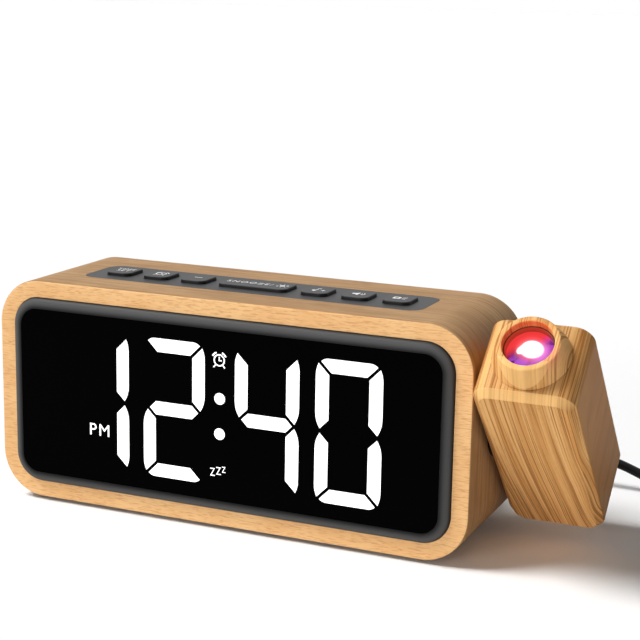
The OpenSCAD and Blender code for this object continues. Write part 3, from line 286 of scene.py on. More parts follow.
def arc_band(x, y, r, thick, start, end, steps=12):
    """Part of a ring between two angles in degrees."""
    a = np.radians(np.linspace(start, end, steps))
    ends = [(r + thick / 2, a), (r - thick / 2, a[::-1])]
    return np.concatenate([np.stack([x + q * np.cos(b), y + q * np.sin(b)], -1) for q, b in ends])


def alarm_mark(h):
    """Alarm clock of height h: ring, hands, two bells and two feet."""
    u = h / 5.6
    hands = [[-0.2, 1.0], [0.2, 1.0], [0.2, -0.1], [0.95, -0.1], [0.95, -0.5], [-0.2, -0.5]]
    bells = [arc_band(0, -0.2 * u, 2.75 * u, 0.55 * u, start, start + 40) for start in (28, 112)]
    feet = [bar(s * 1.75 * u, -2.3 * u, 1.1 * u, 0.45 * u, -50 * s) for s in (-1, 1)]
    ring = [disc(0, -0.2 * u, 2.1 * u), disc(0, -0.2 * u, 1.65 * u)]
    return [*ring, np.array(hands) * u, *bells, *feet]


def sun_mark(h):
    """Small sun: a disc and eight rays."""
    reach, turns = 0.4 * h, np.arange(8) * 45
    return [disc(0, 0, 0.2 * h)] + [
        bar(reach * cos(radians(t)), reach * sin(radians(t)), 0.17 * h, 0.07 * h, t) for t in turns
    ]


def minus_mark(h):
    """Plain minus."""
    return [bar(0, 0, h, 0.16 * h)]


def note_mark(h):
    """Quaver and a small plus."""
    u = h / 4
    note = [
        disc(-0.9 * u, -1.2 * u, 0.6 * u), bar(-0.42 * u, 0.35 * u, 0.26 * u, 2.5 * u),
        bar(0.12 * u, 1.35 * u, 0.78 * u, 0.4 * u, -25),
    ]
    plus = [
        bar(1.6 * u, -0.6 * u, 1.3 * u, 0.26 * u), bar(1.6 * u, -0.23 * u, 0.26 * u, 0.44 * u),
        bar(1.6 * u, -0.97 * u, 0.26 * u, 0.44 * u),
    ]
    return note + plus


def speaker_mark(h):
    """Loudspeaker with two waves."""
    u = h / 4
    horn = [[-1.9, 0.55], [-1.1, 0.55], [0, 1.5], [0, -1.5], [-1.1, -0.55], [-1.9, -0.55]]
    waves = [arc_band(0.1 * u, 0, r * u, 0.25 * u, -50, 50) for r in (0.8, 1.5)]
    return [np.array(horn) * u, *waves]


def beam_mark(h):
    """Projector: a box with a round lens and three rays."""
    u = h / 4
    box = softened(np.array([[-1.9, -1.1], [0.1, -1.1], [0.1, 1.1], [-1.9, 1.1]]) * u, 0.2 * u)
    rays = [
        bar(1.2 * u, 0, 1.3 * u, 0.24 * u), bar(1.1 * u, 0.95 * u, 1.3 * u, 0.24 * u, 28),
        bar(1.1 * u, -0.95 * u, 1.3 * u, 0.24 * u, -28),
    ]
    return [box, disc(-0.9 * u, 0, 0.55 * u), *rays]


def stamp(shell, shape, to, thick):
    """Adds a mark as a thin plate. The shape is loops of points, filled between an outer loop
    and the loop in it, or (words, letter size); to maps (x, y, height) to the mark's place."""
    if isinstance(shape, tuple):
        curve = bpy.data.curves.new("mark", "FONT")
        curve.body, curve.size = shape
        curve.align_x, curve.align_y = "CENTER", "CENTER"
        curve.resolution_u, curve.offset = 6, 0.0004 * curve.size
        curve.space_character = 1.22
    else:
        curve = bpy.data.curves.new("mark", "CURVE")
        for loop in shape:
            spline = curve.splines.new("POLY")
            spline.points.add(len(loop) - 1)
            flat = np.concatenate([loop, np.zeros((len(loop), 1)), np.ones((len(loop), 1))], 1)
            spline.points.foreach_set("co", flat.ravel())
            spline.use_cyclic_u = True
    curve.dimensions, curve.fill_mode, curve.extrude = "2D", "BOTH", thick / 2
    obj = bpy.data.objects.new("mark", curve)
    bpy.context.scene.collection.objects.link(obj)
    shown = obj.evaluated_get(bpy.context.evaluated_depsgraph_get())
    mesh = bpy.data.meshes.new_from_object(shown)
    points = np.empty(len(mesh.vertices) * 3)
    mesh.vertices.foreach_get("co", points)
    shell.add(to(points.reshape(-1, 3)), [list(face.vertices) for face in mesh.polygons])
    bpy.data.objects.remove(obj)
    bpy.data.meshes.remove(mesh)


# ---------- finishes ----------


def srgb(red, green, blue):
    """Linear colour of a screen colour: ((c + 0.055) / 1.055) to the power 2.4."""
    c = np.array([red, green, blue]) / 255
    return tuple(np.where(c <= 0.04045, c / 12.92, ((c + 0.055) / 1.055) ** 2.4).tolist())


def brighter(colour, by):
    """A colour times a number, at most 1."""
    return tuple(min(1.0, c * by) for c in colour)


class Signal:
    """One output of a material's nodes. Arithmetic on it adds Math nodes."""

    def __init__(self, paint, socket):
        self.paint, self.socket = paint, socket

    def math(self, operation, *values):
        """The result of one Math node."""
        return self.paint.node("ShaderNodeMath", {"operation": operation}, dict(enumerate(values)))

    def most(self, other):
        """The larger of the two."""
        return self.math("MAXIMUM", self, other)

    def least(self, other):
        """The smaller of the two."""
        return self.math("MINIMUM", self, other)

    def reach(self, other):
        """Length of the way (self, other): the root of the sum of their squares."""
        return (self * self + other * other) ** 0.5

    def __abs__(self):
        return self.math("ABSOLUTE", self)

    def __add__(self, other):
        return self.math("ADD", self, other)

    def __sub__(self, other):
        return self.math("SUBTRACT", self, other)

    def __rsub__(self, other):
        return self.math("SUBTRACT", other, self)

    def __mul__(self, other):
        return self.math("MULTIPLY", self, other)

    def __truediv__(self, other):
        return self.math("DIVIDE", self, other)

    def __pow__(self, other):
        return self.math("POWER", self, other)

    __radd__, __rmul__ = __add__, __mul__


class Paint:
    """The nodes of a material, or of the world, in the making."""

    def __init__(self, name, kind="Material"):
        self.kind = kind
        self.holder = {"Material": bpy.data.materials, "World": bpy.data.worlds}[kind].new(name)
        self.holder.use_nodes = True
        self.tree = self.holder.node_tree
        self.tree.nodes.clear()

    def node(self, kind, settings=None, inputs=None, out=0):
        """Adds a node: its settings first, then the values or links of its inputs. Gives the
        chosen output, if it has any."""
        node = self.tree.nodes.new(kind)
        for name, value in (settings or {}).items():
            setattr(node, name, value)
        for name, value in (inputs or {}).items():
            if isinstance(value, Signal):
                self.tree.links.new(value.socket, node.inputs[name])
            else:
                node.inputs[name].default_value = value
        return Signal(self, node.outputs[out]) if node.outputs else None

    def place(self, scale=(1, 1, 1), turn=(0, 0, 0), shift=(0, 0, 0), source="Object"):
        """Object coordinates, or those of the UV map, scaled, turned and shifted."""
        start = self.node("ShaderNodeTexCoord", out=source)
        inputs = {"Vector": start, "Location": shift, "Rotation": turn, "Scale": scale}
        return self.node("ShaderNodeMapping", None, inputs)

    def in_head(self, x=0.0, y=0.0):
        """Object coordinates as the projector's millimetres, counted from (x, y, 0)."""
        tilt = bpy.context.scene.clock_sizes.tilt
        turn = np.array(Matrix.Rotation(-tilt, 3, "X"))
        start = -MM * (turn @ in_projector([x, y, 0]))
        return self.place((MM, MM, MM), (-tilt, 0, 0), tuple(start))

    def scaled(self, vector, scale):
        """A vector times a plain one."""
        return self.node("ShaderNodeVectorMath", {"operation": "MULTIPLY"}, {0: vector, 1: scale})

    def split(self, vector):
        """The three parts of a vector."""
        parts = self.node("ShaderNodeSeparateXYZ", None, {0: vector}).socket.node.outputs
        return [Signal(self, part) for part in parts]

    def joined(self, x, y, z):
        """A vector of three parts."""
        return self.node("ShaderNodeCombineXYZ", None, {0: x, 1: y, 2: z})

    def noise(self, vector, scale=1.0, detail=2.0, rough=0.5):
        """Cloudy noise about 0.5."""
        inputs = {"Vector": vector, "Scale": scale, "Detail": detail, "Roughness": rough}
        return self.node("ShaderNodeTexNoise", None, inputs)

    def step(self, value, low, high):
        """0 below low, 1 above high, and a soft slope between."""
        inputs = {0: value, 1: low, 2: high, 3: 0.0, 4: 1.0}
        return self.node("ShaderNodeMapRange", {"interpolation_type": "SMOOTHSTEP"}, inputs)

    def mix(self, factor, a, b):
        """Colour a where the factor is 0 and b where it is 1."""
        a, b = (c if isinstance(c, Signal) else (*c, 1) for c in (a, b))
        return self.node("ShaderNodeMix", {"data_type": "RGBA"}, {0: factor, 6: a, 7: b}, out=2)

    def bump(self, height, distance):
        """Normal of a relief whose height runs over the distance in metres."""
        inputs = {"Height": height, "Distance": distance, "Strength": 1.0}
        return self.node("ShaderNodeBump", None, inputs)

    def ray(self, kind):
        """1 for rays of a kind, such as Camera, and 0 for all others."""
        return self.node("ShaderNodeLightPath", out=f"Is {kind} Ray")

    def close(self, shader):
        """Ends the nodes in a shader, and gives the material or world."""
        self.node("ShaderNodeOutput" + self.kind, None, {"Surface": shader})
        return self.holder

    def finish(self, **inputs):
        """Ends in one Principled shader. Names are its inputs, with _ for a space."""
        inputs = {name.replace("_", " "): value for name, value in inputs.items()}
        return self.close(self.node("ShaderNodeBsdfPrincipled", None, inputs))


def inset_in(x, z, width, height, radius):
    """How far (x, z) lies inside a rounded rectangle about 0. With what |x| and |z| have past a
    corner's centre, it is the radius less the length of these two, each at least 0, and less the
    larger of the two where both are below 0."""
    past_x, past_z = abs(x) - (width / 2 - radius), abs(z) - (height / 2 - radius)
    corner = past_x.most(0.0).reach(past_z.most(0.0))
    return radius - corner - past_x.most(past_z).least(0.0)


def rim_wood(colours):
    """Pale sawn edge of the case: soft mottling and short level flecks."""
    p = Paint("rim_wood")
    mottle, line = srgb(240, 187, 126), srgb(204, 142, 90)
    cloud = p.noise(p.place((60, 60, 60)), detail=3.0)
    fleck = p.step(p.noise(p.place((330, 330, 3400)), detail=1.0), 0.54, 0.68)
    fine = p.noise(p.place((250, 250, 5200)), detail=1.0)
    base = p.mix(p.step(cloud, 0.35, 0.65), colours.rim_light, mottle)
    base = p.mix(fleck * 0.7, base, colours.rim_fleck)
    base = p.mix(p.step(fine, 0.56, 0.72) * 0.4, base, line)
    return p.finish(
        Base_Color=base, Roughness=0.5 + 0.12 * cloud, Normal=p.bump(fleck * -0.5, 0.00004),
        Specular_IOR_Level=0.2,
    )


def case_wood(colours):
    """Brown face of the case: blotches, and faint streaks that run round it with the UV's u."""
    p = Paint("case_wood")
    streak_brown, pore_brown = srgb(148, 110, 72), srgb(118, 86, 54)
    cloud = p.noise(p.place((22, 40, 1), source="UV"), detail=4.0, rough=0.6)
    streak = p.noise(p.place((26, 620, 1), source="UV"), detail=3.0, rough=0.6)
    pore = p.step(p.noise(p.place((140, 2600, 1), source="UV"), detail=1.0), 0.58, 0.72)
    base = p.mix(p.step(cloud, 0.3, 0.7), colours.case_dark, colours.case_light)
    base = p.mix(p.step(streak, 0.42, 0.66) * 0.65, base, streak_brown)
    base = p.mix(pore * 0.4, base, pore_brown)
    return p.finish(
        Base_Color=base, Roughness=0.42 + 0.16 * cloud, Normal=p.bump(pore * -1.0, 0.00002),
        Specular_IOR_Level=0.06,
    )


def striped_wood(colours):
    """Solid of thin wooden sheets side by side across the projector. The sheets bend to the
    right lower down, and waver most at the lower right. Painted light makes the lower part
    lighter, a painted highlight lies on the top of the bevel round the front, the right side is
    one plain sheet darkened with painted shade, and the lamp's red light is painted on the ring
    round the lens."""
    p = Paint("striped_veneer")
    fine_pale, pore_brown = srgb(250, 202, 136), srgb(146, 90, 44)
    bevel_highlight, lamp_red, lamp_pink = srgb(255, 205, 134), srgb(236, 84, 50), srgb(246, 150, 112)
    place = p.in_head()
    x, y, z = p.split(place)

    # The sheets: the share of the way down, a slow sway, and the lower right that wavers most
    low = (40 - z) / HEAD_H
    sway = p.noise(p.scaled(place, (0.03, 0.02, 0.018)), detail=1.5)
    flame = p.step(x / HEAD_W + 0.8 * low, 1.05, 1.6) * p.step(y * -1.0, 6.0, 13.0)
    sheet = x - 6.0 * low * low + (sway - 0.5) * (1.5 + 15.0 * flame)
    across = p.joined(sheet, y * 0.015, z * 0.009)
    broad = p.noise(across, scale=0.35, detail=1.5)
    lines = p.noise(p.scaled(across, (1.9, 1.2, 1.2)), detail=3.0, rough=0.6)
    fine = p.noise(p.scaled(across, (6.0, 2.0, 2.0)), detail=1.0)
    pore = p.noise(p.scaled(p.joined(sheet, y, z), (5.0, 0.8, 0.35)), detail=1.0)
    base = p.mix(p.step(broad, 0.35, 0.62), colours.stripe_base, colours.stripe_light)
    base = p.mix(p.step(lines, 0.46, 0.62) * 0.85, base, colours.stripe_dark)
    base = p.mix(p.step(fine, 0.5, 0.72) * 0.45, base, fine_pale)
    base = p.mix(p.step(pore, 0.6, 0.75) * 0.25, base, pore_brown)

    # Lighter above the housing, darker just under its top, painted light on the lower part,
    # a painted highlight on the bevel's top, and painted shade on the plain right side
    on_top = 0.22 * p.step(z, HEAD_TOP + 0.05, HEAD_TOP + 0.2)
    under_top = 0.12 * p.step(z, HEAD_TOP - 0.65, HEAD_TOP - 0.15)
    # Painted light: the cube of the way down lightens the lower part of the projector
    tone_and_painted_light = 0.94 + 0.46 * (low ** 3.0) - under_top + on_top
    base = p.scaled(base, p.joined(tone_and_painted_light, tone_and_painted_light, tone_and_painted_light))
    inset = inset_in(x - HEAD_W / 2, z - HEAD_RISE, HEAD_W, HEAD_H, HEAD_R)
    # Painted highlight along the top of the bevel round the front
    bevel = p.step(inset * -1.0 - y, 11.65, 11.87) * p.step(z, 34.5, 38.5)
    base = p.mix(bevel * 0.55, base, bevel_highlight)
    # The right side as one plain sheet, darkened with painted shade
    base = p.mix(p.step(x, HEAD_W - 0.4, HEAD_W - 0.05) * 0.85, base, colours.side_sheet_and_shade)

    # The lamp's red light painted in the ring's mouth, and a pink painted glow on its right
    away = (x - LENS_X).reach(y - LENS_Y)
    lit = (1 - p.step(away, 8.2, 8.6)) * p.step(z, 43.0, 46.5) * p.step(y - 0.9 * x, -16.5, -8.5)
    base = p.mix(lit * 0.55, base, lamp_red)
    lamp_glow_mask = p.step(x, 21.5, 25.0) * (1 - p.step(away, 9.2, 12.6)) * p.step(z, 42.0, 46.0)
    base = p.mix(lamp_glow_mask * p.step(y * -1.0, -4.0, 2.0) * 0.5, base, lamp_pink)
    return p.finish(
        Base_Color=base, Roughness=0.36 + 0.2 * fine, Normal=p.bump(lines * -0.6, 0.00001),
        Specular_IOR_Level=0.05,
    )


def moulded(name, colour, rough, grain=2600.0, relief=0.00001, specular=0.5, spread=0.12):
    """Moulded plastic or rubber: fine even grain, with a faint cloud in its colour and gloss."""
    p = Paint(name)
    cloud = p.noise(p.place((35, 35, 35)), detail=3.0)
    dust = p.noise(p.place((grain, grain, grain)), detail=1.0)
    base = p.mix(cloud, brighter(colour, 1 - spread), brighter(colour, 1 + spread))
    return p.finish(
        Base_Color=base, Roughness=rough + 0.1 * (cloud - 0.5), Normal=p.bump(dust, relief),
        Specular_IOR_Level=specular,
    )


def bezel_black(colours):
    """Black band with a painted highlight that dies away towards the window and at its outer edge.
    """
    p = Paint("bezel_black")
    size = bpy.context.scene.clock_sizes
    rim = size.rim * MM
    x, _, z = p.split(p.place((MM, MM, MM), shift=tuple(ORIGIN - [0, 0, MID_Z])))
    inset = inset_in(x, z, CASE_W, CASE_H, size.corner * MM)
    # Painted highlight: a lighter band between the rim's edge and the window
    painted_sheen = p.step(inset, rim - 0.2, rim + 1.0) * (1 - p.step(inset, rim + 1.3, rim + 3.9))
    cloud = p.noise(p.place((35, 35, 35)), detail=3.0)
    painted_shine = p.mix(cloud, colours.bezel, brighter(colours.bezel, 1.2))
    return p.finish(
        Base_Color=p.mix(painted_sheen, colours.black, painted_shine), Roughness=0.4 + 0.1 * cloud,
        Specular_IOR_Level=0.08,
    )


def window_gloss():
    """Tinted window: near black, with the faintest cloud."""
    p = Paint("window_gloss")
    cloud = p.noise(p.place((18, 18, 18)), detail=2.0)
    base = p.mix(cloud, (0.0002, 0.0002, 0.0002), (0.0005, 0.0005, 0.0006))
    return p.finish(Base_Color=base, Roughness=0.12 + 0.05 * cloud, Specular_IOR_Level=0.015)


def lit_white():
    """Lit diffuser: plain white, a trace bluer where its cloud is thin."""
    p = Paint("lit_diffuser")
    cloud = p.noise(p.place((90, 90, 90)), detail=1.0)
    glow = p.mix(cloud, (0.97, 0.98, 1.0), (1.0, 1.0, 1.0))
    return p.finish(
        Base_Color=p.mix(cloud, (0.8, 0.8, 0.8), (0.85, 0.85, 0.85)), Emission_Color=glow,
        Emission_Strength=0.9, Roughness=0.5,
    )


def metal(name, colour, rough, grain=(900, 900, 900)):
    """Bare metal with fine tool marks."""
    p = Paint(name)
    marks = p.noise(p.place(grain), detail=3.0)
    return p.finish(
        Base_Color=p.mix(marks, brighter(colour, 0.86), colour), Metallic=1.0,
        Roughness=rough + 0.14 * (marks - 0.5), Normal=p.bump(marks, 0.000006),
    )


def circuit_green():
    """Circuit board: green mask with copper runs that show through it."""
    p = Paint("circuit_green")
    cell = p.node("ShaderNodeTexBrick", {"offset": 0.5, "squash": 1.0}, {
        "Vector": p.place(turn=(pi / 2, 0, 0)), "Scale": 120.0, "Mortar Size": 0.06,
        "Brick Width": 0.7, "Row Height": 0.22,
    }, out="Fac")
    cloud = p.noise(p.place((70, 70, 70)), detail=2.0)
    base = p.mix(p.step(cell, 0.2, 0.8), (0.006, 0.075, 0.025), (0.02, 0.17, 0.06))
    return p.finish(
        Base_Color=p.mix(cloud * 0.3, base, (0.01, 0.1, 0.05)), Roughness=0.3 + 0.1 * cloud,
        Coat_Weight=0.2,
    )


def glass(name, tint):
    """Clear optical piece, faintly tinted."""
    p = Paint(name)
    cloud = p.noise(p.place((120, 120, 120)), detail=1.0)
    return p.finish(
        Base_Color=p.mix(cloud, tint, brighter(tint, 1.05)), Roughness=0.02 + 0.01 * cloud,
        Transmission_Weight=0.9, IOR=1.5,
    )


def lens_glow():
    """Projection lens with the lamp lit behind it, painted as a glow: a white spot right of its
    middle, a pink ring round that, red to its left and a violet painted reflection below, under a
    clear coat."""
    p = Paint("lens_glow")
    red, plum, violet = (0.16, 0.008, 0.008), (0.09, 0.012, 0.1), (0.08, 0.012, 0.12)
    night, shade = (0.004, 0.001, 0.012), (0.02, 0.003, 0.03)
    rose, pink, white = (0.25, 0.03, 0.035), (0.24, 0.06, 0.17), (1.0, 0.8, 0.9)
    place = p.in_head(LENS_X, LENS_Y)
    x, y, _ = p.split(place)
    spot = (x - 0.9).reach(y * 1.15 + 0.5)
    core = 1 - p.step(spot, 1.9, 4.0)
    halo = 1 - p.step(spot, 2.6, 6.4)
    right = p.step(x * 0.9 - 0.3 * y, 0.5, 5.0)
    swirl = p.noise(p.scaled(place, (0.4, 0.4, 0.4)), detail=1.0)
    glow = p.mix(p.step(y - 0.5 * x, -2.5, 3.5), night, red)
    glow = p.mix(right * 0.85, glow, plum)
    # Violet painted reflection below the lens's middle
    glow = p.mix(p.step(y * -1.0, 1.5, 5.5) * p.step(swirl, 0.4, 0.6), glow, violet)
    glow = p.mix(p.step(swirl, 0.54, 0.66) * right * 0.85, glow, shade)
    glow = p.mix(halo * 0.75, glow, p.mix(right, rose, pink))
    glow = p.mix(core, glow, white)
    return p.finish(
        Base_Color=p.mix(0.5, glow, (0.02, 0.004, 0.02)), Emission_Color=glow,
        Emission_Strength=5.0, Roughness=0.08 + 0.04 * swirl, Specular_IOR_Level=0.4,
        Coat_Weight=0.2, Coat_Roughness=0.02,
    )


def lit_cell():
    """Black cell of the lens; the lamp's red light on its inner wall at the back and left is
    painted as a glow.
    """
    p = Paint("lit_cell")
    x, y, z = p.split(p.in_head(LENS_X, LENS_Y))
    cloud = p.noise(p.place((700, 700, 700)), detail=2.0)
    inner = 1 - p.step(x.reach(y), 7.6, 8.0)
    painted_lamp_light = inner * p.step(y - 0.7 * x, -4.0, 4.5) * p.step(z, 40.0, 44.0)
    return p.finish(
        Base_Color=p.mix(cloud, (0.02, 0.008, 0.006), (0.03, 0.012, 0.008)),
        Emission_Color=p.mix(painted_lamp_light * (0.8 + 0.3 * cloud), (0.0, 0.0, 0.0), (0.42, 0.03, 0.014)),
        Emission_Strength=1.0, Roughness=0.45 + 0.1 * cloud, Specular_IOR_Level=0.2,
    )


@cache
def satin_black_and_shade():
    """Satin black of the plain mouldings, such as the rear cover and the pivot; on the keys' sides
    it is painted shade.
    """
    return moulded(
        "satin_moulding_and_shade", bpy.context.scene.clock_colours.black, 0.4, 2400.0, 0.000005, 0.2
    )


@cache
def black_rubber():
    """Rubber of the feet, the plugs and the coil's tie."""
    return moulded("soft_rubber", (0.011, 0.011, 0.011), 0.62, 1800.0, 0.00002, 0.35)


@cache
def steel():
    """Steel of the screws, nut, washer, clip, coin cell and the far plug's shell."""
    return metal("plated_steel", (0.62, 0.61, 0.6), 0.3)


@cache
def head_wood():
    """Wood of the projector's housing, side cover and focus ring, as if cut from one block."""
    return striped_wood(bpy.context.scene.clock_colours)


# ---------- settings ----------


def length(name, about, default):
    """Length setting in metres."""
    return bpy.props.FloatProperty(
        name=name, description=about, default=default, min=0.0, unit="LENGTH"
    )


def colour(name, about, default):
    """Colour setting."""
    return bpy.props.FloatVectorProperty(
        name=name, description=about, default=default, size=3, min=0.0, max=1.0, subtype="COLOR"
    )


def level(name, about, default, **limits):
    """Level setting of a light or of a surface's brightness, from 0."""
    return bpy.props.FloatProperty(
        name=name, description=about, default=default, min=0.0, **limits
    )


class ClockSizes(bpy.types.PropertyGroup):
    """Sizes of the pieces that stand for the frame's own."""

    corner: length("Case corner", "Radius of the case's long corners", 0.016)
    wood_edge: length("Wood edge", "Rounding of the wood's front and rear edges", 0.0007)
    rim: length("Rim", "Width of the wooden rim round the bezel", 0.0059)
    wall: length("Wall", "Thickness of the wood", 0.008)
    bezel_band: length("Bezel band", "Width of the bezel's rounded band", 0.0036)
    bezel_proud: length("Bezel rise", "How far the bezel stands proud of the wood", 0.002)
    key_width: length("Small key", "Width of a small key", 0.0096)
    snooze_width: length("Snooze key", "Width of the wide key", 0.0258)
    key_depth: length("Key depth", "Depth of every key, front to back", 0.012)
    key_gap: length("Key gap", "Gap between two keys", 0.0052)
    key_edge: length("Key edge", "Rounding of a key's upper edge", 0.0004)
    head_gap: length("Projector gap", "Gap between the case and the projector", 0.0015)
    pivot_height: length("Pivot height", "Height of the pivot above the wood's underside", 0.041)
    head_bevel: length("Projector bevel", "Bevel round the projector's front", 0.0023)
    cord_diameter: length("Cord", "Diameter of the cord", 0.0035)
    tilt: bpy.props.FloatProperty(
        name="Tilt", description="Forward tilt of the projector at rest", default=radians(43),
        min=0.0, max=radians(60), subtype="ANGLE", unit="ROTATION",
    )


class ClockColours(bpy.types.PropertyGroup):
    """Colours of the woods and plastics."""

    rim_light: colour("Rim", "Pale edge of the case", srgb(246, 198, 138))
    rim_fleck: colour("Rim fleck", "Flecks in the pale edge", srgb(216, 154, 100))
    case_light: colour("Case, light", "Lighter blotches of the case", srgb(192, 155, 112))
    case_dark: colour("Case, dark", "Darker blotches of the case", srgb(167, 128, 86))
    stripe_base: colour("Stripe base", "Ground colour of the projector", srgb(216, 155, 89))
    stripe_light: colour("Stripe light", "Pale stripes of the projector", srgb(240, 187, 121))
    stripe_dark: colour("Stripe dark", "Dark lines of the projector", srgb(164, 102, 49))
    # The right side's colour is partly painted shade
    side_sheet_and_shade: colour("Stripe side", "Plain sheet on the projector's right", srgb(176, 119, 60))
    # Black is also painted shade on the keys' sides
    black: colour("Black", "Rear cover and pivot", (0.007, 0.007, 0.007))
    # The bezel's colour is its painted highlight
    bezel: colour("Bezel", "Sheen of the bezel's band", (0.075, 0.075, 0.075))
    panel: colour("Panel", "Key panel", srgb(54, 54, 55))
    key: colour("Keys", "Tops of the keys", srgb(58, 58, 59))


class ClockStage(bpy.types.PropertyGroup):
    """The camera and the light."""

    lens: bpy.props.FloatProperty(
        name="Lens", description="Focal length on a 36 mm sensor", default=89.14, min=10,
        unit="CAMERA",
    )
    place: bpy.props.FloatVectorProperty(
        name="Camera", description="Where the camera stands", default=(0.21475, -0.4831, 0.1852),
        size=3, subtype="XYZ", unit="LENGTH",
    )
    aim: bpy.props.FloatVectorProperty(
        name="Aim", description="Turn to the left, tilt down, and roll",
        default=(radians(23.298), radians(12.302), radians(1.0626)), size=3, subtype="EULER",
        unit="ROTATION",
    )
    sky: level("Sky", "Level of the light from all round", 0.11)
    high_light: level("High lamp", "Level of the soft lamp at the upper left", 1.06)
    front_light: level("Front lamp", "Level of the soft lamp in front", 0.5)
    floor: level("Floor", "Brightness of the floor's colour", 0.84, max=1.0)


# ---------- cord ----------


def coil_points():
    """Coil of four layers: the radius goes from the outer to the inner turn and back at a steady
    rate, and the height climbs one pitch in the half turn round each change of direction."""
    t = np.arange(COIL_LAYERS * LAYER_TURNS * TURN_POINTS) / TURN_POINTS
    layer = np.floor(t / LAYER_TURNS)
    gone = COIL_PITCH * (t - layer * LAYER_TURNS)
    radius = np.where(layer % 2 == 0, COIL_OUT - gone, COIL_IN + gone)
    change = np.round(t / LAYER_TURNS)
    climb = change - 1 + np.clip(2 * (t - change * LAYER_TURNS) + 0.5, 0, 1)
    climb = np.where(change == 0, 0, np.where(change == COIL_LAYERS, COIL_LAYERS - 1, climb))
    turns = np.stack([radius * np.sin(tau * t), radius * np.cos(tau * t), COIL_PITCH * climb], -1)
    lead_out = [[0, COIL_OUT, COIL_RISE], [3.5, COIL_OUT, COIL_RISE]]
    return np.concatenate([[[-3.5, COIL_OUT, 0]], turns, lead_out])


def cord_points():
    """The whole cord's points in the part's frame: the run from the plug, the coil, the tail."""
    start = np.array([JACK_X, COVER_BACK + RELIEF_END, JACK_Z]) - ORIGIN
    run = start + np.array([
        [0, 0, 0], [0, 5, -0.1], [0.8, 10.2, -0.4], [3.4, 15.6, -1], [8, 20.2, -1.8],
        [14.2, 23.6, -2.8], [21.6, 25.6, -4], [29.6, 26.3, -5.3], [38.6, 26.3, -6.8],
        [49.4, 26, -8.6], [57.2, 26, -11.3], [63.6, 26, -13.8], [69.6, 26, -15.6],
        [75.6, 26, -16.3], [82, 26, -16.4], [89, 26, -16.1], [96, 26, -15.7],
    ])
    middle = [start[0] + 104, start[1] + 26 - COIL_OUT, 2.65]
    tail = np.array([
        [6, COIL_OUT, 0], [9.6, 24.5, 0.2], [13, 23.1, 0.9], [15.9, 20.9, 1.8], [18.1, 18, 2.8],
        [19.5, 14.6, 3.8], [20, 11, 4.6], [19.5, 7.3, 5.2], [18.1, 4, 5.6], [15.9, 1.1, 5.8],
        [14.5, -0.3, 5.8],
    ])
    return np.concatenate([run, coil_points() + middle, tail + middle + [0, 0, COIL_RISE]])


def round_plug():
    """Plug in the rear jack: a barrel, a body, and eight ribs that get thinner along the strain
    relief. The profile is (radius, way behind the rear cover)."""
    barrel_r, barrel_end, body_r, body_end = 2.75, -9.5, 4.4, 16.1
    barrel = softened(
        [[0, barrel_end], [barrel_r, barrel_end], [barrel_r, FIT]], [0, 0.4, 0], 3, closed=False
    )
    body = softened(
        [[body_r - 0.8, FIT], [body_r, 0.7], [body_r, body_end - 1], [body_r - 1, body_end]],
        [0.2, 0.5, 0.8, 0.1], closed=False,
    )
    k, pitch, thinner = np.arange(8), 1.25, 0.13
    starts = np.stack([3.2 - thinner * k, body_end + pitch * k], -1)
    ribs = starts[:, None] + np.array([[-0.5, 0.02], [0, 0.3], [0, 0.95], [-0.5, 1.23]])
    end = [[RELIEF_R, RELIEF_END], [0, RELIEF_END]]
    profile = np.concatenate([barrel, body, ribs.reshape(-1, 2), end])
    plug = Shell()
    plug.lathe(profile, [JACK_X, COVER_BACK, JACK_Z], "Y", 48)
    return plug


def flat_plug():
    """Plug on the tail's end: a cone on the cord, a box with rounded long edges, and the tongue
    in its metal shell. It is drawn along X and turned to run on from the tail."""
    end = cord_points()[-2:]
    heading = atan2(*(end[1] - end[0])[[1, 0]])
    cone_r, cone_end, edge = 3.2, 6, 0.8
    body_w, body_h, body_r, body_end = 12.5, 8, 1.5, 28
    tongue_w, tongue_h, tongue_r, tongue_end, tongue_rise = 10.8, 1.6, 0.2, 45, 0.95
    plug, box, placed = Shell(), Shell(), Shell()
    cone = softened(
        [[0, 0], [RELIEF_R, 0], [cone_r, cone_end + 0.01], [0, cone_end + 0.01]],
        [0, 0.3, 0.1, 0], 3, closed=False,
    )
    plug.lathe(cone, [0, 0, 0], "X", 40)
    body = softened(
        [[edge, cone_end], [0, cone_end + edge], [0, body_end - edge], [edge, body_end]],
        [0.1, 0.6, 0.6, 0.1], closed=False,
    )
    box.hoop(body_w, body_h, body_r, body, [0, 0, 0], along=False, steps=6)
    box.hoop(tongue_w, tongue_h, tongue_r, [[0, body_end], [0, tongue_end]],
             [0, 0, tongue_rise], along=False, steps=2)
    plug.add(np.concatenate(box.points)[:, [1, 0, 2]] * [1, -1, 1], box.faces)
    c, s = cos(heading), sin(heading)
    turn = np.array([[c, s, 0], [-s, c, 0], [0, 0, 1]])
    placed.add(np.concatenate(plug.points) @ turn + end[1], plug.faces)
    return placed


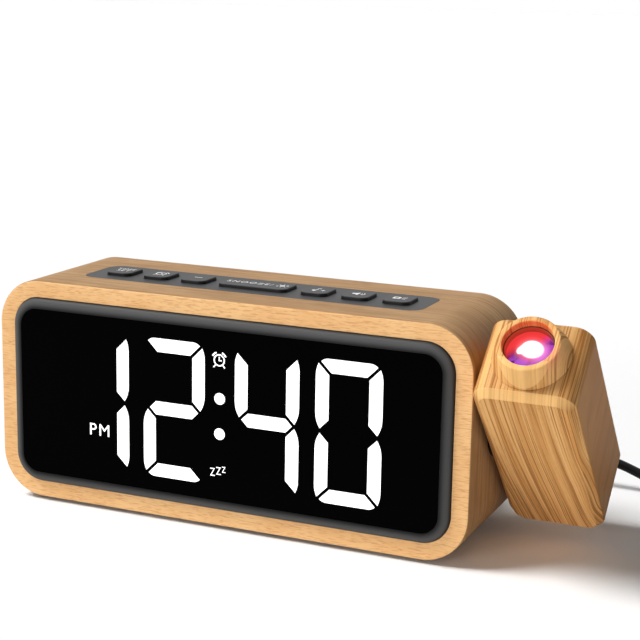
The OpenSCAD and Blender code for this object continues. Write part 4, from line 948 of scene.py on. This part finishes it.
class CLOCK_OT_cord(bpy.types.Operator):
    """Make the cord with its two plugs and the tie round its coil"""

    bl_idname = "clock.cord"
    bl_label = "Cord"
    bl_options = {"REGISTER", "UNDO"}

    def execute(self, context):
        thick = context.scene.clock_sizes.cord_diameter
        path = in_part(through(cord_points(), 3))
        curve = bpy.data.curves.new("supply_cord", "CURVE")
        curve.dimensions, curve.bevel_depth, curve.bevel_resolution = "3D", thick / 2, 3
        curve.use_fill_caps = True
        spline = curve.splines.new("POLY")
        spline.points.add(len(path) - 1)
        spline.points.foreach_set("co", np.concatenate([path, np.ones((len(path), 1))], 1).ravel())
        cord = bpy.data.objects.new("supply_cord", curve)
        context.scene.collection.objects.link(cord)
        jacket = moulded("cord_rubber", (0.004, 0.004, 0.0042), 0.3, 1500.0, 0.00001, 0.15)
        curve.materials.append(jacket)
        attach(cord, "case")
        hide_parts("cord_run", "cord_coil", "cord_tail")

        near = settle(build("round_plug", round_plug(), in_case), "case",
                      [black_rubber()], ["dc_plug"])
        far = settle(build("flat_plug", flat_plug(), in_part), "case",
                     [black_rubber()], ["usb_plug"])
        dress(steel(), "usb_shell")
        dress(black_rubber(), "coil_tie")
        return {"FINISHED"}


# ---------- case and front ----------


def wrap(obj, radius):
    """UV map in metres: u runs round the case's outline from the middle of its top, straight
    along the sides and by the angle in the corners, and v runs backwards."""
    mesh = obj.data
    points = np.empty(len(mesh.vertices) * 3)
    mesh.vertices.foreach_get("co", points)
    corners = np.empty(len(mesh.loops), int)
    mesh.loops.foreach_get("vertex_index", corners)
    counts, centres = np.empty(len(mesh.polygons), int), np.empty(len(mesh.polygons) * 3)
    mesh.polygons.foreach_get("loop_total", counts)
    mesh.polygons.foreach_get("center", centres)
    about = ORIGIN - [0, 0, MID_Z]
    at = points.reshape(-1, 3)[corners] * MM + about
    face = np.repeat(centres.reshape(-1, 3) * MM + about, counts, 0)
    side = np.where(face[:, 0] < 0, -1.0, 1.0)
    x, z, face_x, face_z = at[:, 0] * side, at[:, 2], face[:, 0] * side, face[:, 2]
    flat_x, flat_z, quarter = CASE_W / 2 - radius, CASE_H / 2 - radius, radius * pi / 2
    past = face_x > flat_x
    u = side * np.select(
        [~past & (face_z > 0), past & (face_z > flat_z), past & (face_z > -flat_z), past],
        [
            x,
            flat_x + radius * np.arctan2(x - flat_x, z - flat_z),
            flat_x + quarter + flat_z - z,
            flat_x + quarter + 2 * flat_z + radius * np.arctan2(-z - flat_z, x - flat_x),
        ],
        2 * flat_x + 2 * quarter + 2 * flat_z - x,
    )
    layer = mesh.uv_layers.new(name="UVMap")
    layer.data.foreach_set("uv", np.stack([u, at[:, 1]], -1).ravel() / MM)


class CLOCK_OT_wood_case(bpy.types.Operator):
    """Make the wooden case with its openings"""

    bl_idname = "clock.wood_case"
    bl_label = "Wooden case"
    bl_options = {"REGISTER", "UNDO"}

    def execute(self, context):
        size, colours = context.scene.clock_sizes, context.scene.clock_colours
        edge, rim, wall = size.wood_edge * MM, size.rim * MM, size.wall * MM
        rear = CASE_D - REBATE
        section = softened(
            [[rim, REBATE], [rim, 0], [0, 0], [0, CASE_D], [rim, CASE_D], [rim, rear],
             [wall, rear], [wall, REBATE]],
            [0, 0.15, edge, edge, 0.15, 0, 0, 0], 5,
        )
        sleeve, panel, battery, pivot = Shell(), Shell(), Shell(), Shell()
        sleeve.hoop(CASE_W, CASE_H, size.corner * MM, section, [0, 0, MID_Z], steps=20)
        panel_w, panel_d, panel_r = 127, 24.2, 5
        cut = [[0, CASE_H - wall - PAST], [0, CASE_H + PAST]]
        panel.hoop(panel_w + 2 * FIT, panel_d + 2 * FIT, panel_r + FIT, cut, [0, KEYS_Y, 0],
                   upright=False, along=False)
        bay_w, bay_d, bay_r, bay_x = 30, 26, 3, -45
        battery.hoop(bay_w, bay_d, bay_r, [[0, -PAST], [0, wall + PAST]], [bay_x, MID_Y, 0],
                     upright=False, along=False)
        bore, start, end = BUSH_R + FIT, CASE_W / 2 - wall - PAST, CASE_W / 2 + PAST
        pivot.lathe([[0, start], [bore, start], [bore, end], [0, end]],
                    [0, MID_Y, size.pivot_height * MM], "X")
        case = build("wood_sleeve", sleeve, in_case)
        carve(case, [panel, battery, pivot], in_case)
        wrap(case, size.corner * MM)
        settle(case, "case", [case_wood(colours), rim_wood(colours)], ["wood_case"])
        paint_faces(case, lambda normal: np.abs(normal[:, 1]) > 0.75)
        return {"FINISHED"}


class CLOCK_OT_front_bezel(bpy.types.Operator):
    """Make the black bezel with its rounded band and long bosses"""

    bl_idname = "clock.front_bezel"
    bl_label = "Front bezel"
    bl_options = {"REGISTER", "UNDO"}

    def execute(self, context):
        size, colours = context.scene.clock_sizes, context.scene.clock_colours
        proud, band = size.bezel_proud * MM, size.bezel_band * MM
        out = size.rim * MM + FIT
        lip, seat, end, ledge = -0.35, 1.65, 12, 2
        t = np.linspace(0, pi / 2, 11)
        crown = np.stack([out + band - band * np.cos(t), -proud * np.sin(t)], -1)
        sleeve_out = size.wall * MM + FIT
        sleeve_in = sleeve_out + ledge
        inner = np.array([
            [out + band, lip], [out + band + ledge, lip], [out + band + ledge, seat],
            [sleeve_in, seat], [sleeve_in, end], [sleeve_out, end], [sleeve_out, REBATE],
            [out, REBATE],
        ])
        section = np.concatenate([crown, inner])
        boss_x, boss_z, boss_r, start, rear = 72, 23.5, 3, seat + 0.05, CASE_D - REBATE
        boss = [[0, start], [boss_r, start], [boss_r, rear], [0, rear]]
        bezel = Shell()
        bezel.hoop(CASE_W, CASE_H, size.corner * MM, section, [0, 0, MID_Z])
        for x in (-boss_x, boss_x):
            for z in (-boss_z, boss_z):
                bezel.lathe(boss, [x, 0, MID_Z + z], "Y", 28)
        settle(build("bezel", bezel, in_case), "case", [bezel_black(colours)],
               ["front_bezel"], sharp=40)
        return {"FINISHED"}


class CLOCK_OT_display(bpy.types.Operator):
    """Finish the window, light its digits, and add the small marks"""

    bl_idname = "clock.display"
    bl_label = "Display"
    bl_options = {"REGISTER", "UNDO"}

    def execute(self, context):
        white = lit_white()
        dress(window_gloss(), "display_window", "unlit_segments")
        dress(white, "lit_segments")
        # The window's front lies a little behind the bezel's, and the marks' plates on it
        marks, thick, behind = Shell(), 0.04, 0.15
        middle = behind - context.scene.clock_sizes.bezel_proud * MM - thick / 2

        def at(x, z, narrow=1.0):
            return lambda p: np.stack([p[:, 0] * narrow + x, middle - p[:, 2], p[:, 1] + z], -1)

        stamp(marks, ("PM", 6.1), at(-46.5, 28.15), thick)
        stamp(marks, alarm_mark(5.6), at(-0.2, 58.7), thick)
        for letter, x, z in ((4.0, -2.55, 19.4), (3.9, -0.3, 20.0), (3.0, 1.65, 20.7)):
            stamp(marks, ("Z", letter), at(x, z, 0.74), thick)
        settle(build("display_marks", marks, in_case), "case", [white])
        return {"FINISHED"}


# ---------- keys ----------


def key_cap(name, x, width, depth, edge):
    """A key: its cap with a rounded upper edge, a hem under the panel that is wider and deeper
    than the cap, and a stem that reaches as low as the frame's own."""
    radius, stem = 2.5, 1.5
    hem, wider, deeper = 1, 2, 1.2
    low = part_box(name + "_key")[0][2] * MM + ORIGIN[2]
    side = softened(
        [[0, KEY_UNDER - FIT], [0, KEY_TOP], [edge, KEY_TOP]], [0, edge, 0], 5, closed=False
    )
    cap = Shell()
    cap.hoop(width, depth, radius, side, [x, KEYS_Y, 0], upright=False, along=False, steps=10)
    cap.hoop(width + wider, depth + deeper, radius, [[0, KEY_UNDER - hem], [0, KEY_UNDER]],
             [x, KEYS_Y, 0], upright=False, along=False, steps=8)
    top = KEY_UNDER - hem + FIT
    cap.lathe([[0, low], [stem, low], [stem, top], [0, top]], [x, KEYS_Y, 0], "Z", 24)
    return cap


class CLOCK_OT_keys(bpy.types.Operator):
    """Make the seven keys with their white marks, and finish their panel"""

    bl_idname = "clock.keys"
    bl_label = "Keys"
    bl_options = {"REGISTER", "UNDO"}

    def execute(self, context):
        size, colours = context.scene.clock_sizes, context.scene.clock_colours
        dress(moulded("panel_grey", colours.panel, 0.5, 2200.0, 0.000012, 0.2), "top_panel")
        tops = moulded("key_tops", colours.key, 0.5, 2200.0, 0.00001, 0.2)
        ink = moulded("white_ink", (0.86, 0.86, 0.86), 0.5, 3000.0, 0.000003, 0.3, 0.03)
        small, wide, gap = size.key_width * MM, size.snooze_width * MM, size.key_gap * MM
        step = small + gap
        first = wide / 2 + gap + small / 2
        row = [
            ("time", -first - 2 * step, [(("TIME", 2.9), 0, 1.3), (("SET", 2.9), 0, -1.3)]),
            ("alarm", -first - step, [(alarm_mark(5.4), 0, 0)]),
            ("minus", -first, [(minus_mark(3.0), 0, 0)]),
            ("snooze", 0, [(("SNOOZE/", 3.5), -2.9, 0), (sun_mark(4.8), 9.4, 0)]),
            ("plus", first, [(note_mark(5.0), 0, 0)]),
            ("volume", first + step, [(speaker_mark(5.0), 0, 0)]),
            ("projector", first + 2 * step, [(beam_mark(5.2), 0, 0)]),
        ]
        for name, x, marks in row:
            width = wide if name == "snooze" else small
            cap = key_cap(name, x, width, size.key_depth * MM, size.key_edge * MM)
            node = name + "_key"
            key = settle(build("cap_" + name, cap, in_case), node,
                         [tops, satin_black_and_shade()], [node])
            # Every face of a key that doesn't face up gets the satin black, as painted shade on
            # its sides
            paint_faces(key, lambda normal: normal[:, 2] < 0.6)
            printed = Shell()
            for shape, right, back in marks:
                place = [x + right, KEYS_Y + back, KEY_TOP]
                stamp(printed, shape, lambda p, place=place: p + place, 0.03)
            settle(build("mark_" + name, printed, in_case), node, [ink])
        return {"FINISHED"}


# ---------- rear, underside and insides ----------


class CLOCK_OT_rear(bpy.types.Operator):
    """Finish the rear cover, the jack and the battery's place, and make the feet"""

    bl_idname = "clock.rear"
    bl_label = "Rear and underside"
    bl_options = {"REGISTER", "UNDO"}

    def execute(self, context):
        dress(satin_black_and_shade(), "rear_cover", "battery_door", "battery_bay", "dc_jack")
        dress(steel(), "rear_screws", "battery_screw", "coin_cell")
        dress(metal("contact_gold", (0.75, 0.52, 0.2), 0.28), "battery_contact")
        foot_r, foot_h, foot_x, foot_y = 4.5, 1.2, CASE_W / 2 - 17.5, 9
        pad = softened(
            [[0, -foot_h], [foot_r, -foot_h], [foot_r, 0], [0, 0]], [0, 0.5, 0.1, 0], 5,
            closed=False,
        )
        feet = Shell()
        for x in (-foot_x, foot_x):
            for y in (foot_y, CASE_D - foot_y):
                feet.lathe(pad, [x, y, 0], "Z", 40)
        settle(build("foot_pads", feet, in_case), "case", [black_rubber()],
               ["feet"])
        return {"FINISHED"}


class CLOCK_OT_insides(bpy.types.Operator):
    """Finish the boards, fasteners, speaker and optics inside"""

    bl_idname = "clock.insides"
    bl_label = "Insides"
    bl_options = {"REGISTER", "UNDO"}

    def execute(self, context):
        dress(circuit_green(), "display_board", "main_board", "key_board", "projector_board")
        dress(steel(), "display_screws", "main_screws", "key_screws", "panel_screws", "bush_nut",
              "spring_washer", "retaining_clip", "side_screws")
        dress(satin_black_and_shade(), "board_chips", "key_switches", "pivot_shaft", "light_tube",
              "lens_neck")
        dress(moulded("reflector_white", (0.72, 0.72, 0.7), 0.5), "reflector")
        dress(moulded("lamp_ivory", (0.7, 0.68, 0.52), 0.35), "display_leds")
        dress(moulded("lamp_red", (0.6, 0.02, 0.02), 0.25), "projector_led")
        dress(moulded("red_sleeving", (0.35, 0.02, 0.015), 0.45, 1200.0), "projector_wires")
        dress(metal("basket_steel", (0.28, 0.28, 0.29), 0.42, (300, 300, 300)), "speaker")
        dress(glass("condenser_glass", (0.86, 0.92, 0.94)), "condenser_lens")
        dress(glass("time_film", (0.3, 0.34, 0.4)), "time_mask")
        return {"FINISHED"}


# ---------- projector ----------


class CLOCK_OT_pivot(bpy.types.Operator):
    """Make the pivot's bush with its black disc"""

    bl_idname = "clock.pivot"
    bl_label = "Pivot"
    bl_options = {"REGISTER", "UNDO"}

    def execute(self, context):
        size = context.scene.clock_sizes
        bore, disc_r, side = 6.05, 11, CASE_W / 2
        end, face = side - 10.5, side + size.head_gap * MM - 0.05
        section = softened(
            [[bore, end], [BUSH_R, end], [BUSH_R, side], [disc_r, side], [disc_r, face],
             [bore, face]],
            [0.2, 0.3, 0, 0.1, 0.35, 0.2],
        )
        bush = Shell()
        bush.lathe(section, [0, MID_Y, size.pivot_height * MM], "X", 96, along=True)
        settle(build("pivot_disc", bush, in_case), "case", [satin_black_and_shade()],
               ["pivot_bush"])
        return {"FINISHED"}


class CLOCK_OT_projector(bpy.types.Operator):
    """Make the projector's striped wooden housing and finish its side cover"""

    bl_idname = "clock.projector"
    bl_label = "Projector"
    bl_options = {"REGISTER", "UNDO"}

    def execute(self, context):
        bevel, half = context.scene.clock_sizes.head_bevel * MM, HEAD_D / 2
        inner, rear_bevel = half - HEAD_WALL, 0.6
        front_to_back = softened(
            [[bevel, -half], [0, bevel - half], [0, half - rear_bevel], [rear_bevel, half]],
            [0.35, 0.35, 0.3, 0.3], closed=False,
        )
        block, room, opening, hole = Shell(), Shell(), Shell(), Shell()
        block.hoop(HEAD_W, HEAD_H, HEAD_R, front_to_back, HEAD_MID, along=False, steps=16)
        room.hoop(HEAD_W - 2 * HEAD_WALL, HEAD_H - 2 * HEAD_WALL, HEAD_R - HEAD_WALL,
                  [[0, -inner], [0, inner]], HEAD_MID, along=False, steps=8)
        # The opening for the side cover on the left, and the hole for the lens's neck
        cover_h, cover_d = HEAD_H - 2 * HEAD_R - 4, inner - 1
        opening.hoop(6, cover_h, 0.02, [[0, -cover_d], [0, cover_d]], [-0.3, 0, HEAD_RISE],
                     along=False, steps=1)
        neck, start, end = NECK_R + FIT, HEAD_TOP - HEAD_WALL - PAST, HEAD_TOP + PAST
        hole.lathe([[0, start], [neck, start], [neck, end], [0, end]], LENS_AXIS)
        housing = build("projector_block", block, in_projector)
        carve(housing, [room, opening, hole], in_projector)
        settle(housing, "projector", [head_wood()], ["projector_housing"])
        dress(head_wood(), "side_cover")
        return {"FINISHED"}


class CLOCK_OT_focus_ring(bpy.types.Operator):
    """Make the striped focus ring, the lens cell and the lit lens"""

    bl_idname = "clock.focus_ring"
    bl_label = "Focus ring and lens"
    bl_options = {"REGISTER", "UNDO"}

    def execute(self, context):
        ring, cell, lens = Shell(), Shell(), Shell()
        run, wide, narrow = NECK_R + 0.08, 12.5, 10
        low, lip, up = HEAD_TOP + FIT, 44.7, 47.45
        ring.lathe(softened(
            [[run, low], [wide, low], [narrow, up], [LENS_BORE, up], [LENS_BORE, lip],
             [run, lip]],
            [0, 0.25, 0.55, 0.4, 0.1, 0], 5,
        ), LENS_AXIS, "Z", 128, along=True)
        settle(build("ring_cone", ring, in_projector), "focus_ring",
               [head_wood()], ["focus_ring"])

        out, step, low, up = LENS_BORE - 0.05, LENS_R - 1, 36.05, 44.85
        cell.lathe(softened(
            [[step, low], [out, low], [out, up], [LENS_R, up], [LENS_R, LENS_SEAT],
             [step, LENS_SEAT]],
            [0, 0.1, 0.15, 0.15, 0, 0], 3,
        ), LENS_AXIS, "Z", 96, along=True)
        settle(build("lens_barrel", cell, in_projector), "lens", [lit_cell()],
               ["lens_cell"])

        rim, dome = 1.2, 2.4
        sphere = (LENS_R**2 + dome**2) / (2 * dome)
        reach = np.linspace(LENS_R, 0, 17)
        height = LENS_SEAT + rim + dome - sphere + np.sqrt(sphere**2 - reach**2)
        base = [[0, LENS_SEAT], [LENS_R, LENS_SEAT]]
        lens.lathe(np.concatenate([base, np.stack([reach, height], -1)]), LENS_AXIS, "Z", 96)
        settle(build("front_lens", lens, in_projector), "lens", [lens_glow()],
               ["projection_lens"])
        return {"FINISHED"}


# ---------- stage ----------


class CLOCK_OT_camera(bpy.types.Operator):
    """Set the camera where the photograph was taken from"""

    bl_idname = "clock.camera"
    bl_label = "Camera"
    bl_options = {"REGISTER", "UNDO"}

    def execute(self, context):
        stage = context.scene.clock_stage
        yaw, pitch, roll = stage.aim
        ahead = np.array([-sin(yaw) * cos(pitch), cos(yaw) * cos(pitch), -sin(pitch)])
        right = np.array([cos(yaw), sin(yaw), 0])
        up = np.cross(right, ahead)
        turned = np.stack([
            cos(roll) * right + sin(roll) * up, cos(roll) * up - sin(roll) * right, -ahead
        ], 1)
        data = bpy.data.cameras.new("view")
        data.sensor_fit, data.sensor_width, data.lens = "HORIZONTAL", 36.0, stage.lens
        data.clip_start = 0.01
        camera = bpy.data.objects.new("view", data)
        camera.matrix_world = Matrix.Translation(stage.place) @ Matrix(turned.tolist()).to_4x4()
        context.scene.collection.objects.link(camera)
        context.scene.camera = camera
        return {"FINISHED"}


def floor_material(brightness):
    """Plain matt floor. The camera sees it a little paler than it lights the object."""
    p = Paint("floor")
    camera = p.ray("Camera")
    shown = p.mix(camera, (brightness,) * 3, (0.97, 0.97, 0.97))
    plain = p.node("ShaderNodeBsdfDiffuse", None, {"Color": shown})
    glow = p.node("ShaderNodeEmission", None, {"Color": (1, 1, 1, 1), "Strength": camera * 0.025})
    return p.close(p.node("ShaderNodeAddShader", None, {0: plain, 1: glow}))


def sky_world(brightness):
    """Soft light from all round, which the camera, glossy and clear pieces see as white."""
    p = Paint("sky", "World")
    white = (1, 1, 1, 1)
    sky = p.node("ShaderNodeBackground", None, {"Color": white, "Strength": brightness})
    plate = p.node("ShaderNodeBackground", None, {"Color": white})
    seen = (p.ray("Camera") + p.ray("Glossy") + p.ray("Transmission")).least(1.0)
    return p.close(p.node("ShaderNodeMixShader", None, {0: seen, 1: sky, 2: plate}))


class CLOCK_OT_stage(bpy.types.Operator):
    """Lay the pale floor and set up the soft light"""

    bl_idname = "clock.stage"
    bl_label = "Floor and light"
    bl_options = {"REGISTER", "UNDO"}

    def execute(self, context):
        scene, stage, reach = context.scene, context.scene.clock_stage, 8
        scene.view_settings.view_transform = "Standard"
        corners = [(-reach, -reach, 0), (reach, -reach, 0), (reach, reach, 0), (-reach, reach, 0)]
        mesh = bpy.data.meshes.new("floor")
        mesh.from_pydata(corners, [], [(0, 1, 2, 3)])
        mesh.materials.append(floor_material(stage.floor))
        floor = bpy.data.objects.new("floor", mesh)
        scene.collection.objects.link(floor)
        scene.world = sky_world(stage.sky)
        lamps = (
            ("high_lamp", stage.high_light, 24, (-0.54, -0.22, 0.81)),
            ("front_lamp", stage.front_light, 40, (-0.3, -0.95, 0.06)),
        )
        for name, brightness, spread, towards in lamps:
            lamp = bpy.data.lights.new(name, "SUN")
            lamp.angle, lamp.energy = radians(spread), brightness * pi
            placed = bpy.data.objects.new(name, lamp)
            placed.rotation_euler = Vector(towards).to_track_quat("Z", "Y").to_euler()
            scene.collection.objects.link(placed)
        return {"FINISHED"}


# ---------- panel and main ----------

OPERATORS = (
    CLOCK_OT_camera, CLOCK_OT_cord, CLOCK_OT_wood_case, CLOCK_OT_front_bezel, CLOCK_OT_display,
    CLOCK_OT_keys, CLOCK_OT_rear, CLOCK_OT_insides, CLOCK_OT_pivot, CLOCK_OT_projector,
    CLOCK_OT_focus_ring, CLOCK_OT_stage,
)
SETTINGS = {"clock_sizes": ClockSizes, "clock_colours": ClockColours, "clock_stage": ClockStage}


class CLOCK_PT_pieces(bpy.types.Panel):
    """Lists the clock's pieces and settings in the sidebar"""

    bl_label = "Projection alarm clock"
    bl_category = "Clock"
    bl_space_type = "VIEW_3D"
    bl_region_type = "UI"

    def draw(self, context):
        for operator in OPERATORS:
            self.layout.operator(operator.bl_idname)
        for name, group in SETTINGS.items():
            box = self.layout.box()
            for setting in group.__annotations__:
                box.prop(getattr(context.scene, name), setting)


def register():
    """Makes the settings, the operators and the panel known to Blender."""
    for item in (*SETTINGS.values(), *OPERATORS, CLOCK_PT_pieces):
        bpy.utils.register_class(item)
    for name, group in SETTINGS.items():
        setattr(bpy.types.Scene, name, bpy.props.PointerProperty(type=group))


def unregister():
    """Takes them away again."""
    for name in SETTINGS:
        delattr(bpy.types.Scene, name)
    for item in (CLOCK_PT_pieces, *reversed(OPERATORS), *SETTINGS.values()):
        bpy.utils.unregister_class(item)


def main():
    """Makes every piece in order."""
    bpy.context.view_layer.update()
    register()
    for operator in OPERATORS:
        getattr(bpy.ops.clock, operator.bl_idname.split(".")[1])()


if __name__ == "__main__":
    main()
